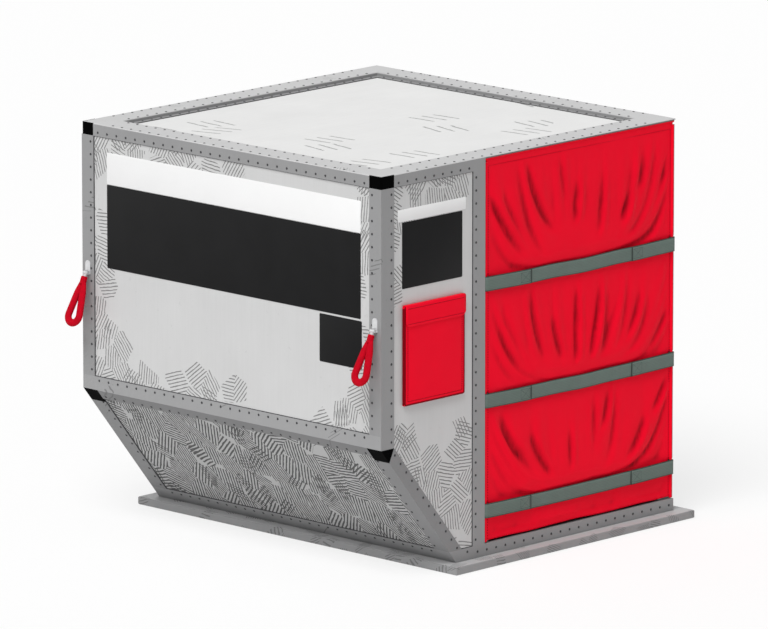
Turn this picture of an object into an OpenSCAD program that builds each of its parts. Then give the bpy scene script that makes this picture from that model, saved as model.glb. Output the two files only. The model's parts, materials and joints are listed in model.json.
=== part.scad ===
// Contoured air cargo container with a fabric curtain door.
// Millimetres, +Z up, origin at the centre of the base's underside.
// X runs across the aircraft (outboard is -X), Y along it (the door faces -Y).

/* [Base] */
// Width of the base over its edge rails
base_w = 1194; // [1000:1:1400]
// Depth of the base over its edge rails
base_d = 1534; // [1200:1:1800]
// Height of the edge rails
base_h = 28; // [22:1:40]
// Width of the restraint lip that stands outside the body
base_lip = 52; // [40:1:70]
// Width of the groove between the restraint lip and the body's seat
lip_groove = 3; // [2:0.5:6]
// Depth of that groove
lip_groove_d = 1; // [0.5:0.25:2]
// Wall of the hollow edge rails
base_wall = 4; // [3:0.5:6]
// Chamfer along the edge rails' outer edges
base_chamfer = 3; // [1:0.5:5]
// Thickness of the floor sheet
floor_t = 5; // [3:0.5:8]
// Width of the edge rails' inner flange over the floor sheet
floor_flange = 26; // [15:1:40]

/* [Body] */
// Height of the roof rim above the base's underside
body_h = 1410; // [1200:1:1626]
// How far the outboard side stands out past the foot of the slope
overhang = 365; // [250:1:420]
// Height of the knuckle where the slope meets the outboard side
knuckle_z = 475; // [380:1:600]
// Thickness of the frame extrusions
frame_t = 4; // [3:0.5:5]
// Thickness of the wall and roof panels
panel_t = 2; // [1:0.5:3]
// Sealant gap between the slope's panel and the frame in front of it
slope_gap = 0.05; // [0.02:0.01:0.2]

/* [Frame] */
// Face width of the posts and struts, seen from the door side
post_front_w = 62; // [45:1:80]
// Side width of the posts, seen from outboard
post_side = 56; // [45:1:80]
// Depth of the roof rails' outer leg
beam_h = 39; // [30:1:60]
// Height of the knuckle rail above the knuckle
knuckle_up = 48; // [30:1:70]
// Width of the knuckle rail down the slope
knuckle_down = 44; // [30:1:60]
// Height of the foot rails and the door sill above the base
foot_h = 42; // [30:1:60]
// Side width of the slope struts
strut_side = 69; // [50:1:90]
// Width of the foot rails' toe on the base
foot_toe = 40; // [30:1:50]
// Width of the roof rim
roof_rim = 100; // [70:1:130]
// How far the roof panel lies below the rim
roof_recess = 14; // [10:0.5:22]
// Width of the rim's foot on the roof panel
roof_foot = 18; // [12:1:30]
// Thickness of the rim's foot
roof_foot_t = 3; // [2:0.5:4]
// Radius of the corner caps' upright edge
cap_round = 8; // [3:1:9]

/* [Door] */
// Width of the fixed wall beside the doorway, as far as the door post
side_wall_w = 447; // [350:1:600]
// Face width of the door post
door_post_w = 58; // [45:1:80]
// Width of the jamb flange behind the curtain's edge
jamb_w = 40; // [32:1:60]
// Width of the door header's top flange
header_flange = 36; // [20:1:50]
// How far the curtain track's front lies behind the frame's face
track_setback = 1.1; // [0.5:0.1:3]
// Wall of the curtain track
track_wall = 1.6; // [1.2:0.1:2.5]
// Radius of the bead along the curtain's head
bead_r = 4; // [3:0.5:5]
// Thickness of the single cloth next to the bead
neck_t = 1.2; // [0.8:0.1:1.6]
// Angle that the curtain swings up to
curtain_swing = 105; // [90:1:110]
// Thickness of the curtain
curtain_t = 2.5; // [1.5:0.1:4]
// Gap between the curtain's foot and the sill
curtain_foot_gap = 4; // [2:0.5:10]
// Radius of the bars in the curtain's side hems
edge_bar_r = 4; // [3:0.5:6]
// Thickness of the cloth round the edge bars
hem_t = 1.9; // [1:0.1:3]
// Wall of the channels that the curtain's edges sit in
channel_wall = 2; // [1.5:0.1:3]

/* [Straps] */
// Width of the curtain straps
strap_w = 50; // [30:1:70]
// Thickness of the strap webbing
strap_t = 2.5; // [1.5:0.1:4]
// Length of the tail that is folded back and sewn at each end
strap_tail = 215; // [100:1:300]
// Height of the top strap
strap_top_z = 970; // [900:1:1100]
// Height of the middle strap
strap_middle_z = 565; // [450:1:700]
// Height of the bottom strap
strap_bottom_z = 183; // [140:1:300]

/* [Pull loops] */
// Height of the loops' pivot
loop_z = 885; // [700:1:1100]
// Length of a loop below its pivot
loop_len = 190; // [150:1:240]
// Radius of the loop's round end, at the middle of the tube
loop_bend = 26; // [22:1:34]
// Radius of the padded tube
loop_tube = 11; // [8:0.5:14]
// How far the loop leans outboard at rest
loop_lean = 22; // [10:1:30]
// Radius of the loop's sleeve at its neck
neck_r = 12; // [11:0.5:14]
// Radius of the pivot pin
pin_r = 3; // [2:0.5:4]
// Width of the bracket's back plate
bracket_w = 24; // [20:1:30]
// Height of the bracket's plate above the pivot
bracket_up = 42; // [30:1:60]
// Thickness of the bracket's plate and ears
bracket_t = 3; // [2:0.5:4]

/* [Document pouch] */
// Distance of the pouch from the outboard side
pouch_in = 105; // [80:1:130]
// Width of the pouch
pouch_w = 291; // [200:1:310]
// Height of the pouch's back
pouch_h = 341; // [250:1:400]
// Height of the pouch's top edge
pouch_top_z = 954; // [900:1:1100]
// Depth of the pouch
pouch_depth = 16; // [10:1:30]
// Wall of the pouch and its flap
pouch_wall = 2; // [1.5:0.1:3]
// How far the pouch's mouth is cut down at the front
pouch_mouth = 20; // [10:1:40]
// Drop of the flap over the pouch's front
flap_drop = 73; // [50:1:100]

/* [Hidden] */
$fn = 48;

// Clearances: turning pins, moving cloth, and parts that only lie beside each other
pin_gap = 0.05;
bar_gap = 0.1;
cloth_gap = 0.3;
side_gap = 0.4;
strap_gap = 0.8;
strap_window = 4;

// Body lines
t = frame_t;
x_in = base_w / 2 - base_lip;
x_foot = -x_in;
x_out = x_foot - overhang;
y_face = base_d / 2 - base_lip;
z_foot = base_h;
z_sill = z_foot + foot_h;
z_beam = body_h - t - beam_h;
z_leg_top = body_h - t / 2;
rail_w = base_lip + foot_toe;
rail_span = rail_w + floor_flange;
rim_span = roof_rim + roof_foot;
roof_mid_x = (x_out + x_in) / 2;
roof_half_x = (x_in - x_out) / 2;

// Cross-section of the body, clockwise: slope foot, knuckle, roof, inboard side
PROFILE = [[x_foot, z_foot], [x_out, knuckle_z], [x_out, body_h], [x_in, body_h], [x_in, z_foot]];
SLOPE_FOOT = 0;
KNUCKLE = 1;
INBOARD_FOOT = 4;
PANEL_INSETS = [t + slope_gap, t, roof_recess, t, t];
PANEL_OUTER = inset(PROFILE, PANEL_INSETS);
PANEL_INNER = inset(PROFILE, [for (d = PANEL_INSETS) d + panel_t]);
slope_dir = unit(PROFILE[SLOPE_FOOT] - PROFILE[KNUCKLE]);
slope_len = norm(PROFILE[SLOPE_FOOT] - PROFILE[KNUCKLE]);
slope_foot = foot_h * slope_len / (knuckle_z - z_foot);

// Doorway and curtain
x_door = x_out + side_wall_w + door_post_w;
track_bore = bead_r + cloth_gap;
track_r = track_bore + track_wall;
y_curtain = -y_face + track_setback + track_r;
z_bead = body_h - t - track_r;
hem_bore = edge_bar_r + bar_gap;
hem_r = hem_bore + hem_t;
ring_in = hem_r + cloth_gap;
ring_r = ring_in + strap_t;
channel_in = hem_r + 2 * cloth_gap;
channel_out = channel_in + channel_wall;
y_jamb = y_curtain + max(ring_r, track_r) + strap_gap;
x_hem_left = x_door + max(ring_r, channel_out) + side_gap;
x_hem_right = x_in - max(ring_r, channel_out);
z_curtain = z_sill + curtain_foot_gap;
z_hem_top = z_bead - 2 * hem_r;
z_full_cloth = z_bead - track_r - side_gap;
slot_half = neck_t / 2 + side_gap;
STRAP_Z = [strap_bottom_z, strap_middle_z, strap_top_z];

// Pull loops
loop_y = y_face - post_side / 2;
pin_x = x_out - neck_r - 1;
eye_r = 2 * pin_r;
eye_w = neck_r;
eye_t = 5;
eye_len = 34;
ear_in = eye_w / 2 + side_gap;
ear_out = ear_in + bracket_t;
neck_top = neck_r;
neck_sleeve = 32;
neck_len = neck_top + neck_sleeve;
leg_off = 5;
leg_r = neck_r - leg_off - 0.5;
leg_top = neck_len - 8;
bend_z = loop_len - loop_bend - loop_tube;
leg_drop = bend_z - leg_top;
leg_turn = atan2(leg_drop, leg_off) - acos(loop_bend / norm([leg_drop, leg_off]));
leg_sink = 4;
leg_step = 0.8;
neck_taper = 10;

// Document pouch
x_pouch = x_out + pouch_in;
z_pouch = pouch_top_z - pouch_h;
flap_bead = 1.6;
y_flap = -y_face + t - flap_bead - cloth_gap;
z_flap = pouch_top_z + flap_bead + cloth_gap;
y_pouch_front = -y_face + t - pouch_depth;
flap_gap = 1;

// Colours
RAIL = [0.51, 0.51, 0.52];
FRAME = [0.65, 0.65, 0.66];
PANEL = [0.78, 0.78, 0.79];
ROOF = [0.88, 0.88, 0.89];
SLOPE = [0.60, 0.60, 0.61];
BLACK = [0.06, 0.06, 0.06];
RED = [0.88, 0.04, 0.15];
WEBBING = [0.38, 0.44, 0.42];
STEEL = [0.82, 0.83, 0.84];

// Plane geometry of the cross-section
function unit(v) = v / norm(v);
function edge_dir(p, i) = unit(p[(i + 1) % len(p)] - p[i]);
function inward(d) = [d[1], -d[0]];

// Corner i of an outline whose edges before and after it move in by a and b
function corner(p, i, a, b) =
    let (n = len(p), m = inward(edge_dir(p, (i + n - 1) % n)), k = inward(edge_dir(p, i)))
    p[i] + [a * k[1] - b * m[1], m[0] * b - k[0] * a] / (m[0] * k[1] - m[1] * k[0]);

// Outline p with each edge moved in by its own distance
function inset(p, ds) =
    let (n = len(p)) [for (i = [0 : n - 1]) corner(p, i, ds[(i + n - 1) % n], ds[i])];

// Flange of an angle that starts at corner i of the profile and runs along the edge after it
function flange_ahead(p, i, w) =
    let (d = edge_dir(p, i)) [p[i], p[i] + d * w, p[i] + d * w + inward(d) * t, corner(p, i, t, t)];

// Flange that ends at corner i and lies along the edge before it
function flange_back(p, i, w) =
    let (d = edge_dir(p, (i + len(p) - 1) % len(p)))
    [p[i], corner(p, i, t, t), p[i] - d * w + inward(d) * t, p[i] - d * w];

// The slope's outer face at a height
function slope_x(z) = x_out + (knuckle_z - z) * overhang / (knuckle_z - z_foot);

// Helpers
module along_x(x0, x1) {
    translate([x0, 0, 0]) rotate([90, 0, 90]) linear_extrude(x1 - x0) children();
}

module along_y(y0, y1) {
    translate([0, y1, 0]) rotate([90, 0, 0]) linear_extrude(y1 - y0) children();
}

module box(low, high) {
    translate(low) cube(high - low);
}

module at_rear() {
    mirror([0, 1, 0]) children();
}

// Part of a ring of rails: a profile along X at the front, mitred at both ends
module mitred(half_len, half_depth, span, z0, z1) {
    intersection() {
        along_x(-half_len, half_len) translate([-half_depth, 0]) children();
        translate([0, 0, z0]) linear_extrude(z1 - z0) polygon([
            [-half_len, -half_depth], [half_len, -half_depth],
            [half_len - span, -half_depth + span], [-half_len + span, -half_depth + span]
        ]);
    }
}

// Base
module base_sheet() {
    half_w = base_w / 2 - rail_w;
    half_d = base_d / 2 - rail_w;
    color(RAIL) box([-half_w, -half_d, 0], [half_w, half_d, floor_t]);
}

// Hollow edge rail: lip chamber, chamber under the body's foot, flange over the floor sheet
module base_rail_profile() {
    difference() {
        polygon([
            [base_chamfer, 0], [rail_w, 0], [rail_w, floor_t], [rail_span, floor_t],
            [rail_span, floor_t + base_wall], [rail_w, floor_t + base_wall], [rail_w, base_h],
            [base_chamfer, base_h], [0, base_h - base_chamfer], [0, base_chamfer]
        ]);
        translate([base_lip - lip_groove, base_h - lip_groove_d]) square([lip_groove, 2 * lip_groove_d]);
        translate([base_wall, base_wall]) square([base_lip - 1.5 * base_wall, base_h - 2 * base_wall]);
        translate([base_lip + base_wall / 2, base_wall])
            square([foot_toe - 1.5 * base_wall, base_h - 2 * base_wall]);
    }
}

module base_rail(turn, half_len, half_depth) {
    color(RAIL) rotate(turn) mitred(half_len, half_depth, rail_span, 0, base_h) base_rail_profile();
}

// Foot rails, sill and knuckle rail
module slope_foot_rail() {
    color(FRAME) along_y(-y_face + t, y_face - t) {
        polygon(flange_ahead(PROFILE, SLOPE_FOOT, slope_foot));
        polygon(flange_back(PROFILE, SLOPE_FOOT, foot_toe));
    }
}

module inboard_foot_rail() {
    color(FRAME) along_y(-y_face + t, y_face - t) {
        polygon(flange_ahead(PROFILE, INBOARD_FOOT, foot_toe));
        polygon(flange_back(PROFILE, INBOARD_FOOT, foot_h));
    }
}

module knuckle_rail() {
    color(FRAME) {
        along_y(-y_face + t, y_face - t) polygon(flange_ahead(PROFILE, KNUCKLE, knuckle_up));
        along_y(-y_face + strut_side, y_face - strut_side) {
            polygon(flange_ahead(PROFILE, KNUCKLE, knuckle_up));
            polygon(flange_back(PROFILE, KNUCKLE, knuckle_down));
        }
    }
}

// Upright face and toe that the sill and the rear foot rail share
module cross_foot() {
    along_y(-y_face, -y_face + t) polygon([
        PROFILE[SLOPE_FOOT], [slope_x(z_sill), z_sill], [x_in, z_sill], PROFILE[INBOARD_FOOT]
    ]);
    box([x_foot + foot_toe, -y_face, z_foot], [x_in - foot_toe, -y_face + foot_toe, z_foot + t]);
}

module rear_foot_rail() {
    color(FRAME) at_rear() cross_foot();
}

// The sill's ledge carries the jambs behind the curtain
module door_sill() {
    color(FRAME) {
        cross_foot();
        box([x_door - t, -y_face, z_sill - t], [x_in - t, y_jamb + t, z_sill]);
    }
}

// Posts and struts
module outboard_post() {
    color(FRAME) {
        box([x_out, -y_face, knuckle_z], [x_out + post_front_w, -y_face + t, z_beam]);
        box([x_out, -y_face, knuckle_z + knuckle_up], [x_out + t, -y_face + post_side, z_beam]);
    }
}

module inboard_post(y) {
    color(FRAME) {
        box([x_in - post_front_w, y, z_sill], [x_in, y + t, z_beam]);
        box([x_in - t, y, z_sill], [x_in, y + post_side, z_beam]);
    }
}

module slope_strut() {
    inner_shift = [post_front_w, 0];
    foot_point = [slope_x(z_sill), z_sill];
    outer = PROFILE[KNUCKLE];
    d = slope_dir;
    n = [-d[1], d[0]];
    color(FRAME) {
        along_y(-y_face, -y_face + t) polygon([
            outer + d * post_front_w, outer + inner_shift, foot_point + inner_shift, foot_point
        ]);
        along_y(-y_face, -y_face + strut_side) polygon([
            outer + d * post_front_w, outer + d * post_front_w + n * t,
            outer + d * (slope_len - slope_foot) + n * t, outer + d * (slope_len - slope_foot)
        ]);
    }
}

// Black corner pieces
module knuckle_cap() {
    outer = PROFILE[KNUCKLE];
    face = [outer, outer + [post_front_w, 0], outer + slope_dir * post_front_w];
    flange = flange_back(PROFILE, KNUCKLE, post_front_w);
    color(BLACK) {
        along_y(-y_face, -y_face + t) polygon(face);
        along_y(-y_face + t, -y_face + strut_side) polygon(flange);
        along_y(-y_face, -y_face + strut_side) intersection() {
            polygon(face);
            polygon(flange);
        }
    }
}

// Plan of a top corner piece: two flanges that meet in a rounded edge
module corner_plan() {
    difference() {
        union() {
            square([post_front_w, t]);
            square([t, post_side]);
        }
        difference() {
            square(cap_round);
            translate([cap_round, cap_round]) circle(cap_round);
        }
    }
}

module corner_cap() {
    color(BLACK) translate([x_out, -y_face, z_beam]) linear_extrude(body_h - z_beam) corner_plan();
}

// Room that the front and rear corner pieces take out of the roof rim
module corner_cap_seats() {
    for (side = [0, 1]) mirror([0, side, 0]) {
        box([x_out, -y_face, z_beam], [x_out + post_front_w, -y_face + t, body_h + 1]);
        box([x_out, -y_face, z_beam], [x_out + t, -y_face + post_side, body_h + 1]);
    }
}

// Roof rim: flange, inner lip and a foot on the roof panel
module roof_rim_profile() {
    polygon([
        [0, body_h - t], [0, body_h - t / 2], [t / 2, body_h], [roof_rim, body_h],
        [roof_rim, body_h - roof_recess + roof_foot_t], [rim_span, body_h - roof_recess + roof_foot_t],
        [rim_span, body_h - roof_recess], [roof_rim - t, body_h - roof_recess], [roof_rim - t, body_h - t]
    ]);
}

module roof_rim(turn, half_len, half_depth) {
    difference() {
        translate([roof_mid_x, 0, 0]) rotate(turn)
            mitred(half_len, half_depth, rim_span, body_h - roof_recess, body_h) roof_rim_profile();
        corner_cap_seats();
    }
}

module roof_rail_front() {
    color(FRAME) {
        roof_rim(0, roof_half_x, y_face);
        box([x_out + post_front_w, -y_face, z_beam], [x_door, -y_face + t, z_leg_top]);
    }
}

module roof_rail_rear() {
    color(FRAME) {
        roof_rim(180, roof_half_x, y_face);
        box([x_out + post_front_w, y_face - t, z_beam], [x_in, y_face, body_h - t]);
        box([x_out + post_front_w, y_face - t, z_beam], [x_in - t, y_face, z_leg_top]);
    }
}

module roof_rail_outboard() {
    color(FRAME) {
        roof_rim(-90, y_face, roof_half_x);
        box([x_out, -y_face + post_side, z_beam], [x_out + t, y_face - post_side, z_leg_top]);
    }
}

module roof_rail_inboard() {
    color(FRAME) {
        roof_rim(90, y_face, roof_half_x);
        box([x_in - t, y_jamb, z_beam], [x_in, y_face - t, z_leg_top]);
    }
}

// Panels: each is one edge of the cross-section, or the whole of it across an end
module edge_panel(i, y0, y1) {
    j = (i + 1) % len(PROFILE);
    along_y(y0, y1) polygon([PANEL_OUTER[i], PANEL_OUTER[j], PANEL_INNER[j], PANEL_INNER[i]]);
}

module roof_panel() {
    y_rear = y_face - t - panel_t;
    color(ROOF) difference() {
        edge_panel(2, -y_rear, y_rear);
        box([x_door - t, -y_face, 0], [x_in, y_jamb + t, body_h]);
    }
}

module outboard_panel() {
    color(PANEL) edge_panel(1, -y_face + t + panel_t, y_face - t - panel_t);
}

module slope_panel() {
    color(SLOPE) edge_panel(0, -y_face + t + panel_t, y_face - t - panel_t);
}

module inboard_panel() {
    color(PANEL) edge_panel(3, y_jamb + t, y_face - t - panel_t);
}

module front_side_panel() {
    color(PANEL) along_y(-y_face + t, -y_face + t + panel_t) intersection() {
        polygon(PANEL_OUTER);
        translate([x_out, 0]) square([x_door - t - x_out, body_h]);
    }
}

module rear_panel() {
    color(PANEL) along_y(y_face - t - panel_t, y_face - t) polygon(PANEL_OUTER);
}

// Doorway: Z-shaped post, header, bead track and edge channels
module door_post() {
    color(FRAME) {
        box([x_door - door_post_w, -y_face, z_sill], [x_door, -y_face + t, z_beam]);
        box([x_door - t, -y_face, z_sill], [x_door, y_jamb + t, z_beam]);
        box([x_door - t, y_jamb, z_sill], [x_door - t + jamb_w, y_jamb + t, z_beam]);
    }
}

module door_header() {
    color(FRAME) {
        box([x_door - t, -y_face + t, z_beam], [x_door, y_jamb + t, body_h - t]);
        box([x_door - t, y_jamb, z_beam], [x_in - t, y_jamb + t, body_h - t]);
        box([x_door - t, y_jamb, body_h - 2 * t], [x_in - t, y_jamb + header_flange, body_h - t]);
    }
}

// Open side of the track: the cloth hangs down at rest and swings out and up
module track_slot() {
    reach = 3 * track_r;
    for (turn = [0, curtain_swing])
        rotate(-turn) translate([-slot_half, -reach]) square([2 * slot_half, reach]);
    polygon([
        [0, 0], [0, -reach],
        for (share = [1 : 3]) let (a = curtain_swing * share / 3) [-reach * sin(a), -reach * cos(a)]
    ]);
}

module curtain_track() {
    color(FRAME) along_x(x_door, x_in - t) translate([y_curtain, z_bead]) difference() {
        union() {
            circle(track_r);
            square([y_jamb - y_curtain, track_r]);
            translate([0, -track_r / 2]) square([y_jamb - y_curtain, track_r]);
        }
        circle(track_bore);
        track_slot();
    }
}

// Channel with its outer wall at +X: the cloth passes in front of the lower inner wall
module channel_section() {
    depth = y_jamb - y_curtain;
    inner_tip = curtain_t / 2 + side_gap;
    translate([-channel_out, channel_in]) square([2 * channel_out, depth - channel_in]);
    translate([channel_in, -channel_wall]) square([channel_wall, depth + channel_wall]);
    translate([-channel_out, inner_tip]) square([channel_wall, depth - inner_tip]);
}

// Channel on a jamb, in lengths between the straps
module edge_channel(x, flip) {
    half = strap_w / 2 + strap_window;
    stops = [z_curtain, for (z = STRAP_Z) each [z - half, z + half], z_hem_top];
    color(FRAME) for (i = [0 : 2 : len(stops) - 2])
        translate([x, y_curtain, stops[i]]) mirror([flip, 0, 0])
            linear_extrude(stops[i + 1] - stops[i]) channel_section();
}

// Curtain: cloth with a bead at its head, a tube hem at each side and slits for the straps
module curtain() {
    head_x0 = x_door + side_gap;
    head_x1 = x_in - t - side_gap;
    color(RED) {
        difference() {
            union() {
                box([x_hem_left, y_curtain - curtain_t / 2, z_curtain],
                    [x_hem_right, y_curtain + curtain_t / 2, z_full_cloth]);
                box([x_hem_left, y_curtain - neck_t / 2, z_curtain],
                    [x_hem_right, y_curtain + neck_t / 2, z_bead]);
                along_x(head_x0, head_x1) translate([y_curtain, z_bead]) circle(bead_r);
                for (x = [x_hem_left, x_hem_right])
                    translate([x, y_curtain, z_curtain]) cylinder(h = z_hem_top - z_curtain, r = hem_r);
            }
            for (x = [x_hem_left, x_hem_right])
                translate([x, y_curtain, z_curtain - 1])
                    cylinder(h = z_hem_top - z_curtain + 2, r = hem_bore);
            for (z = STRAP_Z) {
                strap_slit(x_hem_left, x_hem_left + ring_r + side_gap, z);
                strap_slit(x_hem_right - ring_r - side_gap, x_hem_right, z);
            }
        }
    }
}

// Slit from the hem's tube to just past the strap's loop, clear of the tube itself
module strap_slit(x0, x1, z) {
    half = strap_w / 2 + side_gap;
    difference() {
        box([x0, y_curtain - curtain_t, z - half], [x1, y_curtain + curtain_t, z + half]);
        for (x = [x_hem_left, x_hem_right])
            translate([x, y_curtain, z - half - 1]) cylinder(h = 2 * half + 2, r = hem_r);
    }
}

module edge_bar(x) {
    color(STEEL) translate([x, y_curtain, z_curtain])
        cylinder(h = z_hem_top - z_curtain, r = edge_bar_r);
}

// Strap: looped round both hems, each end folded back on its own face and sewn
module strap(z) {
    y_band = y_curtain - ring_in;
    color(WEBBING) translate([0, 0, z - strap_w / 2]) {
        linear_extrude(strap_w) {
            difference() {
                union() {
                    for (x = [x_hem_left, x_hem_right]) translate([x, y_curtain]) circle(ring_r);
                    translate([x_hem_left, y_band - strap_t]) square([x_hem_right - x_hem_left, strap_t]);
                }
                for (x = [x_hem_left, x_hem_right]) translate([x, y_curtain]) circle(ring_in);
            }
            for (x = [x_hem_left, x_hem_right - strap_tail])
                translate([x, y_band - 2 * strap_t]) square([strap_tail, 1.5 * strap_t]);
        }
    }
}

// Document pouch on the fixed wall
module document_pouch() {
    y_back = -y_face + t;
    y_front = y_pouch_front;
    inner_low = [x_pouch + pouch_wall, y_front + pouch_wall, z_pouch + pouch_wall];
    inner_high = [x_pouch + pouch_w - pouch_wall, y_back - pouch_wall, pouch_top_z + 1];
    color(RED) difference() {
        along_x(x_pouch, x_pouch + pouch_w) polygon([
            [y_back, z_pouch], [y_back, pouch_top_z], [y_back - pouch_wall, pouch_top_z],
            [y_front, pouch_top_z - pouch_mouth], [y_front, z_pouch + pouch_wall],
            [y_front + pouch_wall, z_pouch]
        ]);
        box(inner_low, inner_high);
    }
}

// Flap: bead at the pouch's head, top strip and front drop
module pouch_flap() {
    y_drop = y_pouch_front - flap_gap;
    half = pouch_wall / 2;
    color(RED) along_x(x_pouch, x_pouch + pouch_w) {
        translate([y_flap, z_flap]) circle(flap_bead);
        translate([y_drop - pouch_wall, z_flap - half]) square([y_flap - y_drop + pouch_wall, pouch_wall]);
        translate([y_drop - pouch_wall, z_flap + half - flap_drop]) square([pouch_wall, flap_drop]);
    }
}

// Pull loops, at their place on the front outboard post
module at_loop() {
    translate([pin_x, -loop_y, loop_z]) children();
}

module at_loop_lean() {
    at_loop() rotate([0, loop_lean, 0]) children();
}

module loop_bracket() {
    half = bracket_w / 2;
    back = x_out - pin_x;
    color(STEEL) at_loop() {
        along_x(back - bracket_t, back) {
            translate([0, bracket_up - half]) circle(half);
            translate([-half, -eye_r]) square([bracket_w, bracket_up - half + eye_r]);
        }
        for (y = [-ear_out, ear_in]) along_y(y, y + bracket_t) difference() {
            union() {
                circle(eye_r);
                translate([0, -eye_r]) square([back, 2 * eye_r]);
            }
            circle(pin_r + pin_gap);
        }
    }
}

module loop_pin() {
    head_t = 1.5;
    color(STEEL) at_loop() {
        along_y(-ear_out - head_t, ear_out + head_t) circle(pin_r);
        for (y = [-ear_out - head_t, ear_out]) along_y(y, y + head_t) circle(1.5 * pin_r);
    }
}

module eye_tongue() {
    box([-eye_t / 2, -eye_w / 2, -eye_len], [eye_t / 2, eye_w / 2, 0]);
}

module loop_eye() {
    color(STEEL) at_loop_lean() difference() {
        union() {
            along_y(-eye_w / 2, eye_w / 2) circle(eye_r);
            eye_tongue();
        }
        along_y(-eye_w, eye_w) circle(pin_r + 2 * pin_gap);
    }
}

// Legs run a little way into the bend, and are slimmer there
module pull_loop() {
    bend_start = [loop_bend * cos(leg_turn), -bend_z + loop_bend * sin(leg_turn)];
    leg = bend_start - [leg_off, -leg_top];
    color(RED) at_loop_lean() difference() {
        union() {
            translate([0, 0, -neck_len + neck_taper])
                cylinder(h = neck_sleeve - neck_taper, r = neck_r);
            translate([0, 0, -neck_len]) cylinder(h = neck_taper, r1 = leg_r + leg_off / 2, r2 = neck_r);
            for (side = [0, 1]) mirror([0, side, 0]) translate([0, leg_off, -leg_top])
                rotate([atan2(-leg[0], leg[1]), 0, 0])
                    cylinder(h = norm(leg) + leg_sink, r1 = leg_r, r2 = loop_tube - leg_step);
            translate([0, 0, -bend_z]) rotate([90, 0, 90]) rotate(180 - leg_turn)
                rotate_extrude(angle = 180 + 2 * leg_turn) translate([loop_bend, 0]) circle(loop_tube);
        }
        eye_tongue();
    }
}

base_sheet();
base_rail(0, base_w / 2, base_d / 2);  // base_rail_front
base_rail(180, base_w / 2, base_d / 2);  // base_rail_rear
base_rail(-90, base_d / 2, base_w / 2);  // base_rail_outboard
base_rail(90, base_d / 2, base_w / 2);  // base_rail_inboard
slope_foot_rail();
inboard_foot_rail();
rear_foot_rail();
door_sill();
knuckle_rail();
outboard_post();  // outboard_post_front
at_rear() outboard_post();  // outboard_post_rear
inboard_post(y_jamb);  // inboard_post_front
at_rear() inboard_post(-y_face);  // inboard_post_rear
slope_strut();  // slope_strut_front
at_rear() slope_strut();  // slope_strut_rear
knuckle_cap();  // knuckle_cap_front
at_rear() knuckle_cap();  // knuckle_cap_rear
corner_cap();  // corner_cap_front
at_rear() corner_cap();  // corner_cap_rear
roof_rail_front();
roof_rail_rear();
roof_rail_outboard();
roof_rail_inboard();
roof_panel();
outboard_panel();
slope_panel();
inboard_panel();
front_side_panel();
rear_panel();
door_post();
door_header();
curtain_track();
edge_channel(x_hem_left, 1);  // edge_channel_left
edge_channel(x_hem_right, 0);  // edge_channel_right
curtain();
edge_bar(x_hem_left);  // edge_bar_left
edge_bar(x_hem_right);  // edge_bar_right
strap(strap_top_z);  // strap_top
strap(strap_middle_z);  // strap_middle
strap(strap_bottom_z);  // strap_bottom
document_pouch();
pouch_flap();
loop_bracket();  // loop_bracket_front
loop_pin();  // loop_pin_front
loop_eye();  // loop_eye_front
pull_loop();  // pull_loop_front
at_rear() loop_bracket();  // loop_bracket_rear
at_rear() loop_pin();  // loop_pin_rear
at_rear() loop_eye();  // loop_eye_rear
at_rear() pull_loop();  // pull_loop_rear
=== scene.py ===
"""Looks of a contoured air cargo container with a fabric curtain door.

Laid out as an add-on and run as a script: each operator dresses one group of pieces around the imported
CAD model. Metres, +Z up, in the CAD model's own frame: outboard is -X and the door faces -Y.
"""

import json
import math
import random
from functools import partial, partialmethod
from typing import NamedTuple

import bmesh
import bpy
from bpy.props import FloatProperty, FloatVectorProperty, IntProperty, PointerProperty
from mathutils import Matrix, Vector, noise


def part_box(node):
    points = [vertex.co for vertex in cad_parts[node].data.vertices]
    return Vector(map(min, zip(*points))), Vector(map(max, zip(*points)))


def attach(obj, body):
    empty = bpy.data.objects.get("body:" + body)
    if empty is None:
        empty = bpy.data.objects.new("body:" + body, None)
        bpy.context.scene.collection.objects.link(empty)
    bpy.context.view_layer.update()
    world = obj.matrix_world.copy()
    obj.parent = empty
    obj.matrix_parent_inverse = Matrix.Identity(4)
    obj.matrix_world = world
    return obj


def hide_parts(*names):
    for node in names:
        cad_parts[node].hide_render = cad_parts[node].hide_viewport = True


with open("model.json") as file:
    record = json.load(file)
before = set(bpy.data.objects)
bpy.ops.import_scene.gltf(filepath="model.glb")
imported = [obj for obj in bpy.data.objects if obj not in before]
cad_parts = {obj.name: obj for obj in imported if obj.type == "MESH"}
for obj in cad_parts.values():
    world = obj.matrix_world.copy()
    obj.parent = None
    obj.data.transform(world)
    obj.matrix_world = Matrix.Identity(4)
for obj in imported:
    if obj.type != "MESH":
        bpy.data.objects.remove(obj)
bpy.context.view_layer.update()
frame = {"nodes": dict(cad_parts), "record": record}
NODES = frame["nodes"]

bl_info = {
    "name": "Air cargo container",
    "version": (1, 0, 0),
    "blender": (4, 5, 0),
    "location": "3D View > Sidebar > Container",
    "description": "Finishes, rivets, cloth door, fittings and stage for a contoured air cargo container",
    "category": "Object",
}

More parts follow.
